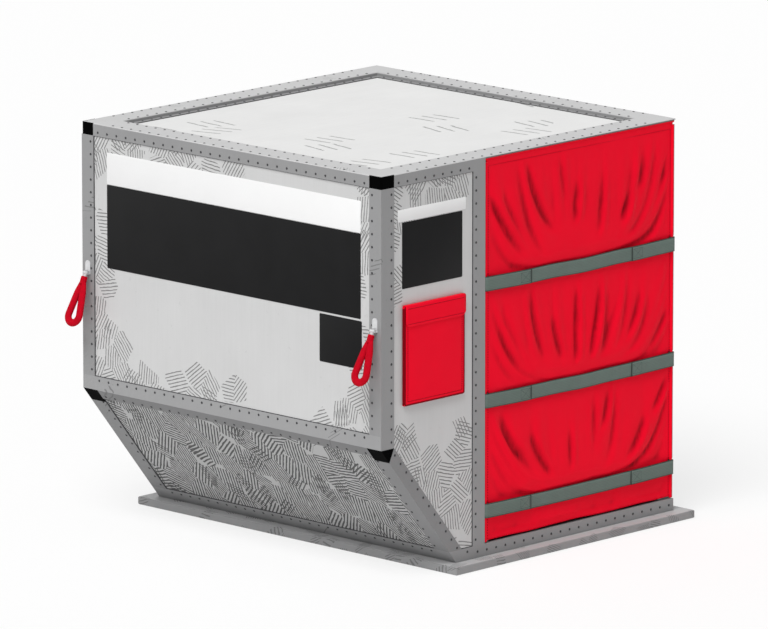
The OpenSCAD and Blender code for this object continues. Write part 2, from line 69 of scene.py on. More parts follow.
# Lines of the body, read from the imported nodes
X_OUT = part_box("outboard_post_front")[0].x
X_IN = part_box("inboard_post_rear")[1].x
Y_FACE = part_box("outboard_post_rear")[1].y
Z_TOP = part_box("roof_rail_rear")[1].z
Z_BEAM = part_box("roof_rail_rear")[0].z
Z_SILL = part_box("rear_foot_rail")[1].z
Z_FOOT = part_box("rear_foot_rail")[0].z
LIP_Z = next(m["pos_m"][2] for m in frame["record"]["mounts"] if m["name"] == "restraint_lip_front")
X_FOOT = -X_IN
KNUCKLE_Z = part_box("outboard_post_front")[0].z
KNUCKLE_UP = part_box("knuckle_rail")[1].z
POST_SIDE = Y_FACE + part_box("corner_cap_front")[1].y
POST_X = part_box("corner_cap_front")[1].x
PANEL_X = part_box("outboard_panel")[0].x
PANEL_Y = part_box("front_side_panel")[0].y
DOOR_POST_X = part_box("door_post")[0].x
ROOF_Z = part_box("roof_panel")[1].z
JAMB_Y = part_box("inboard_post_front")[0].y
HEM_LEFT = sum(corner.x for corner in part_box("edge_bar_left")) / 2
HEM_RIGHT = sum(corner.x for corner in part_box("edge_bar_right")) / 2
CURTAIN_Y = sum(corner.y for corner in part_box("edge_bar_left")) / 2
HEM_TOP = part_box("edge_bar_left")[1].z
CURTAIN_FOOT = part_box("curtain")[0].z
STRAP_ROWS = {name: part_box(name) for name in ("strap_top", "strap_middle", "strap_bottom")}
SLOPE = Vector((X_FOOT - X_OUT, 0.0, Z_FOOT - KNUCKLE_Z))
SLOPE_LEN = SLOPE.length
SLOPE_DIR = SLOPE.normalized()
SLOPE_OUT = Vector((SLOPE_DIR.z, 0.0, -SLOPE_DIR.x))

# Widths and thicknesses of the frame's flanges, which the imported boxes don't give
RIM_W = 0.100
RIM_FOOT = 0.018
RIM_FOOT_T = 0.003
STRUT_SIDE = 0.069
KNUCKLE_DOWN = 0.044
SLOPE_FOOT_W = (Z_SILL - Z_FOOT) * SLOPE_LEN / (KNUCKLE_Z - Z_FOOT)
FLANGE_T = 0.004

# Head bead, cloth, hems, stitches and the webbing's turn round a hem
BEAD_R = 0.004
HEAD_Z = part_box("curtain")[1].z - BEAD_R
HEM_R = 0.0060
STITCH_UP = 0.0002
RING_MID = 0.00755
WEBBING_T = 0.0023
WEBBING_PITCH = 0.0025
BAND_Y = CURTAIN_Y - RING_MID
TAIL_Y = BAND_Y - WEBBING_PITCH
TAIL_LEN = 0.215

# Map and attribute that the cloth finishes read; the attribute holds the painted shade in the curtain's
# creases
WEAVE_MAP = "weave"
FOLD_SHADE = "fold_shade"

OUTBOARD = Vector((-1.0, 0.0, 0.0))
INBOARD = Vector((1.0, 0.0, 0.0))
FRONT = Vector((0.0, -1.0, 0.0))
REAR = Vector((0.0, 1.0, 0.0))
UP = Vector((0.0, 0.0, 1.0))

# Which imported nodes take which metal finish
FRAME_NODES = (
    "slope_foot_rail inboard_foot_rail rear_foot_rail door_sill outboard_post_front outboard_post_rear "
    "inboard_post_front inboard_post_rear door_post door_header curtain_track edge_channel_left "
    "edge_channel_right"
).split()
STRUT_NODES = "slope_strut_front slope_strut_rear".split()
RIM_NODES = "roof_rail_front roof_rail_rear roof_rail_outboard roof_rail_inboard".split()
BASE_NODES = "base_rail_front base_rail_rear base_rail_outboard base_rail_inboard".split()
CAP_NODES = "knuckle_cap_front knuckle_cap_rear corner_cap_front corner_cap_rear".split()
STEEL_NODES = (
    "edge_bar_left edge_bar_right loop_bracket_front loop_pin_front loop_eye_front "
    "loop_bracket_rear loop_pin_rear loop_eye_rear"
).split()


def colour_property(name, description, default):
    return FloatVectorProperty(
        name=name, description=description, default=default, subtype="COLOR", size=3, min=0.0, max=1.0
    )


def number_property(name, description, default, low=0.0, **kind):
    return FloatProperty(name=name, description=description, default=default, min=low, **kind)


def length_property(name, description, default, low=0.0):
    return number_property(name, description, default, low, unit="LENGTH")


def angle_property(name, description, degrees):
    return number_property(name, description, math.radians(degrees), -math.pi, max=math.pi, subtype="ANGLE")


def count_property(name, description, default):
    return IntProperty(name=name, description=description, default=default, min=1)


class ContainerColours(bpy.types.PropertyGroup):
    """Colours of the container's finishes."""

    # Painted shade: the walls' sheet is set darker than the roof's to stand in for the lesser light on
    # upright faces
    wall: colour_property("Wall", "Bare sheet of the walls", (0.60, 0.60, 0.60))
    roof: colour_property("Roof", "Bare sheet of the roof", (0.80, 0.80, 0.795))
    frame: colour_property("Frame", "Riveted angle extrusions", (0.30, 0.30, 0.303))
    # Painted shade: the struts round the slope are darker than the frame to stand in for the shade they lie
    # in, not a duller metal
    strut: colour_property("Struts", "Duller extrusions round the slope", (0.245, 0.245, 0.248))
    # Painted light: only the rim's top face takes this colour; its sides take the frame's darker colour
    rim: colour_property("Rim", "Roof rim extrusions", (0.56, 0.56, 0.562))
    # Painted shade: the slope's sheet is darker than the walls' to stand in for the shade on the slope, which
    # faces down; its scuffs are wear
    slope: colour_property("Slope", "Scuffed sheet of the slope", (0.47, 0.47, 0.47))
    base: colour_property("Base", "Base edge rails", (0.29, 0.29, 0.293))
    floor: colour_property("Floor sheet", "Floor sheet between the rails", (0.45, 0.45, 0.45))
    cap: colour_property("Corner pieces", "Black corner pieces", (0.0012, 0.0012, 0.0013))
    steel: colour_property("Steel", "Brackets, pins and bars", (0.68, 0.68, 0.69))
    cloth: colour_property("Cloth", "Coated cloth of curtain and pouch", (0.94, 0.0022, 0.0230))
    webbing: colour_property("Webbing", "Curtain straps", (0.140, 0.185, 0.163))
    sign: colour_property("Sign", "Dark bare sign plates", (0.0135, 0.0135, 0.014))
    strip: colour_property("Strip", "Pale bare strips", (0.86, 0.86, 0.86))
    sealant: colour_property("Sealant", "Seam beads and rivet heads", (0.060, 0.060, 0.063))


class ContainerSizes(bpy.types.PropertyGroup):
    """Sizes of the details that are added to the CAD model."""

    rivet_pitch: length_property("Rivet pitch", "Distance between rivets in a row", 0.045)
    rivet_radius: length_property("Rivet radius", "Radius of a rivet's head", 0.0046)
    rivet_rise: length_property("Rivet rise", "How far a rivet's head stands out", 0.0020)
    rivet_edge: length_property("Rivet edge", "Distance of a row from its flange's edge", 0.013)
    seam_radius: length_property("Seam radius", "Radius of the sealant beads", 0.0024)
    plate_t: length_property("Plate thickness", "Thickness of the bare sign plates", 0.0010)
    cloth_t: length_property("Cloth thickness", "Thickness of the curtain's cloth", 0.0018)
    cloth_slack: number_property("Cloth slack", "Share by which the cloth is larger than its frame", 0.008)
    cloth_columns: count_property("Cloth columns", "Cells of the curtain's grid across its width", 136)
    cloth_rows: count_property("Cloth rows", "Cells of the curtain's grid down its length", 194)
    cloth_frames: count_property("Cloth frames", "Steps of the curtain's simulation", 30)
    bulge_front: length_property("Bulge", "Most that the cloth stands out in front of its frame", 0.020)
    bulge_back: length_property("Hollow", "Most that the cloth sinks in behind its frame", 0.026)
    strap_sag: length_property("Strap sag", "Sag of a strap at its middle", 0.004)


class ContainerStage(bpy.types.PropertyGroup):
    """Light and camera."""

    sun_strength: number_property("Sun strength", "Strength of the one soft sun", 2.7)
    sun_spread: angle_property("Sun spread", "Angle of the soft sun", 35.0)
    sun_from: FloatVectorProperty(
        name="Sun from", description="Direction towards the sun", default=(-0.53, -0.19, 0.825),
        subtype="DIRECTION", size=3
    )
    ambient: number_property("Ambient", "Light from all round", 0.28)
    floor_lift: number_property("Floor lift", "Share of plain white in the floor", 0.72, max=1.0)
    azimuth: angle_property("Azimuth", "Camera's turn about the vertical", -45.965)
    elevation: angle_property("Elevation", "Camera's height angle", 12.039)
    distance: length_property("Distance", "Camera's distance from its target", 33.685866)
    lens: number_property("Lens", "Focal length in millimetres", 456.4614)
    aim: FloatVectorProperty(
        name="Aim", description="Centre of the view before its shift", default=(0.0, 0.0, 0.8), size=3,
        subtype="TRANSLATION"
    )
    aim_right: length_property("Aim right", "Shift of the aim to the right", -0.109327, -1.0)
    aim_up: length_property("Aim up", "Shift of the aim upwards", -0.099714, -1.0)


class Value:
    """A socket of a finish; arithmetic on it adds Math nodes."""

    def __init__(self, finish, socket):
        self.finish = finish
        self.socket = socket

    def math(self, operation, *others):
        terms = dict(enumerate((self, *others)))
        return self.finish.node("ShaderNodeMath", {"operation": operation}, terms)

    def reflected(self, operation, other):
        return self.finish.node("ShaderNodeMath", {"operation": operation}, {0: other, 1: self})

    __add__ = partialmethod(math, "ADD")
    __radd__ = partialmethod(reflected, "ADD")
    __sub__ = partialmethod(math, "SUBTRACT")
    __rsub__ = partialmethod(reflected, "SUBTRACT")
    __mul__ = partialmethod(math, "MULTIPLY")
    __rmul__ = partialmethod(reflected, "MULTIPLY")
    __truediv__ = partialmethod(math, "DIVIDE")
    __rtruediv__ = partialmethod(reflected, "DIVIDE")
    __lt__ = partialmethod(math, "LESS_THAN")
    __gt__ = partialmethod(math, "GREATER_THAN")
    __abs__ = partialmethod(math, "ABSOLUTE")
    sine = partialmethod(math, "SINE")
    cosine = partialmethod(math, "COSINE")
    fract = partialmethod(math, "FRACT")
    most = partialmethod(math, "MAXIMUM")

    def other(self, output):
        return Value(self.finish, self.socket.node.outputs[output])


class Nodes:
    """A node tree that nodes and links are added to."""

    def __init__(self, tree):
        self.tree = tree

    def node(self, kind, settings=None, inputs=None, output=0):
        """Adds a node: its settings first, then its sockets' values or links. Gives one output."""
        made = self.tree.nodes.new(kind)
        for key, value in (settings or {}).items():
            setattr(made, key, value)
        for key, value in (inputs or {}).items():
            self.feed(made.inputs[key], value)
        return Value(self, made.outputs[output])

    def feed(self, socket, value):
        if isinstance(value, Value):
            self.tree.links.new(value.socket, socket)
        elif socket.type == "RGBA" and len(value) == 3:
            socket.default_value = (*value, 1.0)
        else:
            socket.default_value = value


class Finish(Nodes):
    """A material and its node tree, from coordinates to the principled shader."""

    def __init__(self, name):
        self.material = bpy.data.materials.new(name)
        self.material.use_nodes = True
        super().__init__(self.material.node_tree)
        self.shader = next(n for n in self.tree.nodes if n.type == "BSDF_PRINCIPLED")

    def surface(self, **inputs):
        """Feeds the principled shader; an underscore in a name stands for a blank."""
        for key, value in inputs.items():
            self.feed(self.shader.inputs[key.replace("_", " ")], value)
        return self.material

    def place(self):
        return self.node("ShaderNodeTexCoord", output="Object")

    def parts(self, vector):
        first = self.node("ShaderNodeSeparateXYZ", None, {0: vector})
        return first, first.other(1), first.other(2)

    def point(self, x, y, z):
        return self.node("ShaderNodeCombineXYZ", None, {0: x, 1: y, 2: z})

    def noise(self, vector, scale, detail, roughness=0.55):
        return self.node(
            "ShaderNodeTexNoise", {"noise_dimensions": "3D"},
            {"Vector": vector, "Scale": scale, "Detail": detail, "Roughness": roughness}, "Fac"
        )

    def mix(self, low, high, share):
        return self.node(
            "ShaderNodeMix", {"data_type": "RGBA", "clamp_factor": True}, {0: share, 6: low, 7: high}, 2
        )

    def bump(self, height, distance, strength):
        return self.node(
            "ShaderNodeBump", None, {"Strength": strength, "Distance": distance, "Height": height}, "Normal"
        )


def shade(colour, share):
    return tuple(min(1.0, c * share) for c in colour)


class Scuffs(NamedTuple):
    """Style of a field of scuffs: patches of short parallel lines, in metres and radians."""

    cell: float
    pitch: float
    line: float
    half_width: float
    half_length: float
    cover: float
    seed: float
    lean: float = 0.0
    spread: float = 4.1


def strokes(finish, u, v, style, zones=None):
    """Patches of short parallel scuffs, each patch at its own angle. 1 on a scuff, 0 beside it.
    zones are ellipses (u, v, half width, half height) that hold the patches."""
    seed = style.seed
    u = u + seed
    v = v - seed
    flat = finish.point(u, v, 0.0)
    spot = finish.node(
        "ShaderNodeTexVoronoi", {"voronoi_dimensions": "2D", "feature": "F1"},
        {"Vector": flat, "Scale": 1.0 / style.cell, "Randomness": 1.0}, "Color"
    )
    turn, slide, chance = finish.parts(spot)
    centre_u, centre_v, _ = finish.parts(spot.other("Position"))
    angle = turn * style.spread + style.lean
    du = u - centre_u
    dv = v - centre_v
    cos = angle.cosine()
    sin = angle.sine()
    across = du * cos + dv * sin
    along = dv * cos - du * sin
    width = (finish.noise(flat, scale=48.0, detail=2.0) * 1.2 + 0.4) * (style.line / style.pitch)
    mask = (across / style.pitch + slide).fract() < width
    mask = mask * (abs(across) < style.half_width) * (abs(along + across * 0.35) < style.half_length)
    mask = mask * (chance < style.cover)
    if zones:
        inside = None
        for zone_u, zone_v, half_u, half_v in zones:
            off_u = (centre_u - (zone_u + seed)) / half_u
            off_v = (centre_v - (zone_v - seed)) / half_v
            here = off_u * off_u + off_v * off_v < 1.0
            inside = here if inside is None else inside.most(here)
        mask = mask * inside
    return mask


def sheet_metal(name, colour, plane, layers=(), grain=(140.0, 140.0, 4.0), rough=0.55, metallic=0.10,
                dark=0.30, depth=0.75, below=None):
    """Bare aluminium: cloudy tone, drawn grain, faint dents and patches of scuffs.
    plane names the two coordinates that the scuffs lie in; "all" is for a piece with faces all round.
    below is a height and a second colour for the faces under it, which makes one extrusion lighter on top
    than lower down as painted light and shade."""
    finish = Finish(name)
    place = finish.place()
    axes = dict(zip("xyz", finish.parts(place)))
    cloud = finish.noise(place, scale=5.0, detail=4.0)
    stretched = finish.point(axes["x"] * grain[0], axes["y"] * grain[1], axes["z"] * grain[2])
    drawn = finish.noise(stretched, scale=1.0, detail=2.0)
    tone = cloud * 0.6 + drawn * 0.4
    base = finish.mix(shade(colour, 0.90), shade(colour, 1.08), tone)
    rubs = finish.noise(place, scale=38.0, detail=5.0, roughness=0.7) > 0.66
    base = finish.mix(base, shade(colour, 0.82), rubs * 0.35)
    # Painted light and shade: a second colour under a height, so one extrusion is lighter on top than lower
    # down
    if below:
        height, low_colour = below
        under = finish.mix(shade(low_colour, 0.88), shade(low_colour, 1.1), tone)
        base = finish.mix(base, under, axes["z"] < height)
    marks = None
    wobble = (finish.noise(place, scale=16.0, detail=2.0) - 0.5) * 0.010
    if plane == "all":
        u = axes["x"] + axes["z"] * 0.6 + wobble
        v = axes["y"] + axes["z"] * 0.8 - wobble
    else:
        u = axes[plane[0]] + wobble
        v = axes[plane[1]] - wobble
    for style, zones in layers:
        scuffs = strokes(finish, u, v, style, zones)
        marks = scuffs if marks is None else marks.most(scuffs)
    height = cloud * 0.6
    roughness = drawn * 0.20 + (rough - 0.10)
    if marks is not None:
        base = finish.mix(base, shade(colour, dark), marks * depth)
        height = height - marks * 0.12
        roughness = roughness + marks * 0.15
    return finish.surface(
        Base_Color=base, Roughness=roughness, Metallic=metallic, Specular_IOR_Level=0.25,
        Normal=finish.bump(height, distance=0.004, strength=0.5)
    )


def painted(name, colour, rough=0.38, worn=None, spread=0.10, gloss=0.05):
    """Paint or print on metal: even colour with smudges, fine speckle and rubbed spots."""
    finish = Finish(name)
    place = finish.place()
    cloud = finish.noise(place, scale=7.0, detail=4.0)
    speckle = finish.noise(place, scale=260.0, detail=2.0)
    base = finish.mix(shade(colour, 1.0 - spread), shade(colour, 1.0 + spread), cloud)
    if worn:
        rubbed = finish.noise(place, scale=55.0, detail=5.0, roughness=0.75) > 0.70
        base = finish.mix(base, worn, rubbed * 0.3)
    return finish.surface(
        Base_Color=base, Roughness=cloud * 0.18 + (rough - 0.09), Specular_IOR_Level=gloss,
        Normal=finish.bump(speckle, distance=0.0004, strength=0.35)
    )


def plain_steel(name, colour):
    """Zinc-plated steel: fine spangle and handling scratches."""
    finish = Finish(name)
    place = finish.place()
    spangle = finish.noise(place, scale=120.0, detail=3.0)
    scratch = finish.noise(place, scale=420.0, detail=2.0)
    return finish.surface(
        Base_Color=finish.mix(shade(colour, 0.82), shade(colour, 1.12), spangle), Metallic=0.55,
        Roughness=spangle * 0.25 + 0.25, Normal=finish.bump(scratch, distance=0.0003, strength=0.4)
    )


def coated_cloth(name, colour, folds=False, weave=0.0026):
    """PVC-coated cloth: fine weave, cloudy sheen, and painted shade that darkens it in its creases."""
    finish = Finish(name)
    place = finish.place()
    x, y, z = finish.parts(place)
    count = 2.0 * math.pi / weave
    threads = (x * count).sine() * (z * count).sine()
    cloud = finish.noise(place, scale=6.0, detail=4.0)
    base = finish.mix(shade(colour, 0.92), shade(colour, 1.06), cloud)
    # Painted shade in the creases: the crease depth written on the mesh darkens the cloth, broken up by noise
    if folds:
        crease = finish.node("ShaderNodeAttribute", {"attribute_name": FOLD_SHADE}, output="Fac")
        hung = finish.point(x * 90.0, y * 90.0, z * 26.0)
        ragged = finish.noise(hung, scale=1.0, detail=3.0)
        base = finish.mix(base, shade(colour, 0.16), crease * (ragged * 1.1 + 0.25))
    crinkle = finish.noise(place, scale=70.0, detail=3.0)
    return finish.surface(
        Base_Color=base, Roughness=cloud * 0.16 + 0.44, Specular_IOR_Level=0.05,
        Normal=finish.bump(threads * 0.25 + crinkle, distance=0.0008, strength=0.5)
    )


def ribbed_webbing(name, colour, width, length):
    """Woven webbing with dark selvedges and ends: ribs and a herringbone of yarns, on the strap's UV map."""
    rib = 0.0052
    yarn = 0.0030
    selvedge_w = 0.0022
    end_w = 0.0045
    finish = Finish(name)
    uv = finish.node("ShaderNodeUVMap", {"uv_map": WEAVE_MAP})
    along, across, _ = finish.parts(uv)
    ribs = (across * (2.0 * math.pi / rib)).sine()
    slant = (across / (2.0 * rib)).fract() - 0.5
    yarns = ((along + abs(slant) * (2.0 * yarn)) * (2.0 * math.pi / yarn)).sine()
    wear = finish.noise(finish.place(), scale=22.0, detail=4.0)
    pattern = ribs * 0.25 + yarns * 0.25 + 0.5
    base = finish.mix(shade(colour, 0.72), shade(colour, 1.22), pattern * 0.55 + wear * 0.45)
    selvedge = abs(across - width / 2) > width / 2 - selvedge_w
    ends = abs(along - length / 2) > length / 2 - end_w
    base = finish.mix(base, shade(colour, 0.16), selvedge.most(ends) * 0.85)
    return finish.surface(
        Base_Color=base, Roughness=wear * 0.15 + 0.62, Specular_IOR_Level=0.2,
        Normal=finish.bump(ribs * 0.6 + yarns * 0.4, distance=0.0005, strength=0.8)
    )


def sleeve_cloth(name, colour):
    """Padded sleeve of the pull loops: braided yarn over a soft core."""
    finish = Finish(name)
    place = finish.place()
    _, y, z = finish.parts(place)
    pitch = 0.0045
    step = 2.0 * math.pi / pitch
    braid = ((y + z) * step).sine() * ((y - z) * step).sine()
    wear = finish.noise(place, scale=60.0, detail=3.0)
    base = finish.mix(shade(colour, 0.34), shade(colour, 0.78), wear * 0.6 + braid * 0.2 + 0.2)
    return finish.surface(
        Base_Color=base, Roughness=wear * 0.15 + 0.5, Specular_IOR_Level=0.05,
        Normal=finish.bump(braid, distance=0.0006, strength=0.7)
    )


def keep(name, bm, material, body, replaces=(), sharp=math.radians(40.0)):
    """Makes a finished piece of a bmesh, riding on a CAD body."""
    mesh = bpy.data.meshes.new(name)
    bm.to_mesh(mesh)
    bm.free()
    mesh.shade_smooth()
    mesh.set_sharp_from_angle(angle=sharp)
    mesh.materials.append(material)
    piece = bpy.data.objects.new(name, mesh)
    bpy.context.scene.collection.objects.link(piece)
    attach(piece, body)
    if replaces:
        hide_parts(*replaces)
    return piece


def dress(names, material):
    """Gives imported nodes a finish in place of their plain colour."""
    for name in names:
        slots = NODES[name].material_slots
        if not slots:
            raise RuntimeError(f"{name} has no material slot")
        for slot in slots:
            slot.material = material


def add_modifier(piece, kind, **settings):
    made = piece.modifiers.new(kind.title(), kind)
    for key, value in settings.items():
        setattr(made, key, value)
    return made


def edges_within(verts):
    inside = set(verts)
    found = {e for v in verts for e in v.link_edges if e.other_vert(v) in inside}
    return sorted(found, key=lambda e: tuple(sorted(v.index for v in e.verts)))


def pulled(bm, edges):
    """Extrudes a row of edges and gives the new points and their edges."""
    made = bmesh.ops.extrude_edge_only(bm, edges=edges)["geom"]
    row = [g for g in made if isinstance(g, bmesh.types.BMVert)]
    return row, edges_within(row)


def sweep(bm, path, normal, radii, closed=False, segments=8, oval=1.0):
    """Draws a ring along a path that lies in the plane of normal, mitred at its corners.
    oval is the ring's size along normal as a share of its radius."""
    places = []
    last = len(path) - 1
    for i, point in enumerate(path):
        ahead = path[(i + 1) % len(path)] - point if closed or i < last else point - path[i - 1]
        behind = point - path[i - 1] if closed or i > 0 else ahead
        ahead = ahead.normalized()
        tangent = (ahead + behind.normalized()).normalized()
        side = tangent.cross(normal) / max(0.5, tangent.dot(ahead))
        radius = radii[i]
        turn = Matrix((normal * radius * oval, side * radius, tangent * radius)).transposed().to_4x4()
        places.append(Matrix.Translation(point) @ turn)
    ring = bmesh.ops.create_circle(bm, segments=segments, radius=1.0, matrix=places[0])["verts"]
    first = edges_within(ring)
    edges = first
    for start, end in zip(places, places[1:]):
        ring, edges = pulled(bm, edges)
        bmesh.ops.transform(bm, matrix=end @ start.inverted(), verts=ring)
    if closed:
        bmesh.ops.bridge_loops(bm, edges=first + edges)
    else:
        for end in (first, edges):
            bmesh.ops.contextual_create(bm, geom=end)


def upright_grid(xs, y, zs, columns, rows):
    """A grid in the plane of the door, between two places along X and two heights."""
    centre = Vector((sum(xs) / 2, y, sum(zs) / 2))
    upright = Matrix.Translation(centre) @ Matrix.Rotation(math.pi / 2, 4, "X")
    spread = Matrix.Diagonal((xs[1] - xs[0], zs[1] - zs[0], 1.0, 1.0))
    bm = bmesh.new()
    bmesh.ops.create_grid(bm, x_segments=columns, y_segments=rows, size=0.5, matrix=upright @ spread)
    return bm


def close_up(bm):
    """Merges doubles and turns every face outwards."""
    bmesh.ops.remove_doubles(bm, verts=bm.verts, dist=1e-6)
    bmesh.ops.recalc_face_normals(bm, faces=bm.faces)


def add_beads(bm, places, radius, sides):
    """Adds a small ball at each place. A row at a time, because the operators slow down on a full mesh."""
    row = bmesh.new()
    for place in places:
        bmesh.ops.create_uvsphere(row, u_segments=sides, v_segments=4, radius=radius, matrix=place)
    mesh = bpy.data.meshes.new("row")
    row.to_mesh(mesh)
    row.free()
    bm.from_mesh(mesh)
    bpy.data.meshes.remove(mesh)


def sew(bm, start, end, place, pitch, length, thick):
    """A row of raised stitches from start to end. place sets each one on its cloth, where that isn't flat."""
    count = max(1, round((end - start).length / pitch))
    turn = (end - start).to_track_quat("X", "Z").to_matrix().to_4x4()
    form = Matrix.Diagonal((length / thick, 1.0, 1.0, 1.0))
    spots = [start.lerp(end, (i + 0.5) / count) for i in range(count)]
    if place:
        spots = [place(at) for at in spots]
    add_beads(bm, [Matrix.Translation(at) @ turn @ form for at in spots], thick / 2, sides=6)


def slope_point(u, y, depth=0.0):
    """A point u down the slope from the knuckle, depth behind the frame's outer face."""
    return Vector((X_OUT, y, KNUCKLE_Z)) + SLOPE_DIR * u - SLOPE_OUT * depth


def outlines():
    """Edge of the frame round each panel, on the panel's face: name, points, outward normal."""
    side = Y_FACE - POST_SIDE
    strut = Y_FACE - STRUT_SIDE
    foot_u = SLOPE_LEN - SLOPE_FOOT_W
    foot_x = slope_point(foot_u, 0.0).x + POST_X - X_OUT
    inner = X_IN - (POST_X - X_OUT)
    rim = RIM_W + RIM_FOOT
    walls, backs = (
        [(POST_X, Z_BEAM), (end_x, Z_BEAM), (end_x, Z_SILL), (foot_x, Z_SILL), (POST_X, KNUCKLE_Z)]
        for end_x in (DOOR_POST_X, inner))
    front_y = JAMB_Y + POST_SIDE
    inboard_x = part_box("inboard_panel")[1].x
    roof_x = (X_OUT + rim, X_IN - rim)
    roof_y = Y_FACE - rim
    return [
        ("outboard", [Vector((PANEL_X, y, z)) for y, z in (
            (-side, Z_BEAM), (side, Z_BEAM), (side, KNUCKLE_UP), (-side, KNUCKLE_UP))], OUTBOARD),
        ("slope", [slope_point(u, y, FLANGE_T) for u, y in (
            (KNUCKLE_DOWN, -strut), (KNUCKLE_DOWN, strut), (foot_u, strut), (foot_u, -strut))], SLOPE_OUT),
        ("front", [Vector((x, PANEL_Y, z)) for x, z in walls], FRONT),
        ("rear", [Vector((x, -PANEL_Y, z)) for x, z in backs], REAR),
        ("inboard", [Vector((inboard_x, y, z)) for y, z in (
            (front_y, Z_BEAM), (side, Z_BEAM), (side, Z_SILL), (front_y, Z_SILL))], INBOARD),
        ("roof", [Vector((x, y, ROOF_Z)) for x, y in (
            (roof_x[0], -roof_y), (roof_x[1], -roof_y), (roof_x[1], roof_y), (roof_x[0], roof_y))], UP),
    ]


def grown(points, normal, by):
    """The outline with each edge moved outwards, as pairs of points that keep their edge's length."""
    middle = sum(points, Vector()) / len(points)
    rows = []
    for a, b in zip(points, points[1:] + points[:1]):
        out = (b - a).normalized().cross(normal)
        if out.dot((a + b) / 2 - middle) < 0:
            out.negate()
        rows.append((a + out * by, b + out * by))
    return rows


class CONTAINER_OT_metal(bpy.types.Operator):
    """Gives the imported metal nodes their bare, scuffed and painted finishes"""

    bl_idname = "container.metal"
    bl_label = "Metal finishes"

    RIM_EDGE = 0.0025
    LIP_EDGE = 0.0005

    def execute(self, context):
        colours = context.scene.container_colours
        # Cell, pitch, line, half width, half length, cover, seed, lean, spread
        patches = Scuffs(0.085, 0.0118, 0.0038, 0.050, 0.046, 1.0, 0.37)
        stray = Scuffs(0.110, 0.0125, 0.0034, 0.030, 0.036, 0.35, 1.93)
        dense = Scuffs(0.082, 0.0118, 0.0055, 0.060, 0.056, 1.0, 0.71)
        dense_over = Scuffs(0.088, 0.0122, 0.0043, 0.030, 0.032, 0.48, 2.61)
        lone = Scuffs(0.270, 0.0460, 0.0080, 0.070, 0.056, 0.40, 0.13, -0.30, 0.6)
        short = Scuffs(0.120, 0.0110, 0.0026, 0.022, 0.022, 0.14, 0.59)
        scraped = Scuffs(0.085, 0.0085, 0.0030, 0.034, 0.022, 0.75, 0.23)
        outboard_zones = [
            (0.70, 0.56, 0.20, 0.21), (0.66, 0.95, 0.07, 0.50), (0.38, 1.345, 0.42, 0.06),
            (-0.64, 0.57, 0.24, 0.12), (0.24, 0.545, 0.40, 0.055), (-0.64, 0.98, 0.055, 0.42)
        ]
        front_zones = [
            (-0.70, 1.335, 0.26, 0.06), (-0.835, 1.18, 0.045, 0.22), (-0.60, 0.19, 0.21, 0.25),
            (-0.49, 0.32, 0.05, 0.22), (-0.79, 0.44, 0.10, 0.10)
        ]
        rear_zones = [(-0.55, 0.40, 0.34, 0.26), (0.40, 0.16, 0.34, 0.12), (0.0, 1.33, 0.60, 0.07)]
        inboard_zones = [(0.50, 0.18, 0.30, 0.16), (-0.45, 0.16, 0.30, 0.10), (0.2, 1.32, 0.40, 0.06)]
        walls = (
            ("outboard", "outboard_panel", "yz", outboard_zones),
            ("front", "front_side_panel", "xz", front_zones),
            ("rear", "rear_panel", "xz", rear_zones),
            ("inboard", "inboard_panel", "yz", inboard_zones))
        for side, node, plane, zones in walls:
            layers = [(patches, zones), (stray, zones)]
            # Painted shade: the walls' colour is darker than the roof's to stand in for the lesser light on
            # upright faces
            dress([node], sheet_metal(f"wall_{side}", colours.wall, plane, layers, dark=0.22, depth=0.80))
        dress(["roof_panel"], sheet_metal(
            "roof_sheet", colours.roof, "xy", [(lone, None)], grain=(6.0, 150.0, 6.0), rough=0.70,
            metallic=0.0, dark=0.25, depth=0.7))
        # Painted shade: the slope's darker colour stands in for the shade on its downward face; the dense
        # scuffs over it are wear
        dress(["slope_panel"], sheet_metal(
            "slope_sheet", colours.slope, "yz", [(dense, None), (dense_over, None)], dark=0.11, depth=0.90))
        # Painted shade: the knuckle rail's lower flange, under the bend, takes a colour darker than the
        # struts
        knuckle_painted_shade = (KNUCKLE_Z, shade(colours.strut, 0.86))
        # Painted light: the rim is lighter on its top face than on its sides, which keep the frame's colour
        under_rim = (Z_TOP - self.RIM_EDGE, colours.frame)
        # Painted light: the base rails' lip tops are lighter than their faces below the lip
        under_lip = (LIP_Z - self.LIP_EDGE, colours.base)
        extrusions = (
            ("frame", FRAME_NODES, colours.frame, short, 0.55, None),
            # Painted shade: the struts take a darker colour than the frame
            ("strut", STRUT_NODES, colours.strut, short, 0.55, None),
            # Painted light and shade: the knuckle rail is lighter than the frame on its upper flange and
            # darker below the bend
            ("knuckle", ["knuckle_rail"], shade(colours.frame, 1.12), short, 0.50, knuckle_painted_shade),
            # Painted light: the rim is lighter on top than on its sides
            ("rim", RIM_NODES, colours.rim, short, 0.60, under_rim),
            # Painted light: the base rails take 1.6 times their colour on top and their own colour below the
            # lip
            ("base", BASE_NODES, shade(colours.base, 1.6), scraped, 0.28, under_lip))
        for name, nodes, colour, style, dark, below in extrusions:
            dress(nodes, sheet_metal(
                f"{name}_extrusion", colour, "all", [(style, None)], dark=dark, below=below))
        dress(["base_sheet"], sheet_metal("floor_plate", colours.floor, "xy", [(patches, None)]))
        dress(CAP_NODES, painted(
            "corner_paint", colours.cap, rough=0.55, worn=shade(colours.frame, 0.12), gloss=0.01))
        dress(STEEL_NODES, plain_steel("fitting_steel", colours.steel))
        return {"FINISHED"}


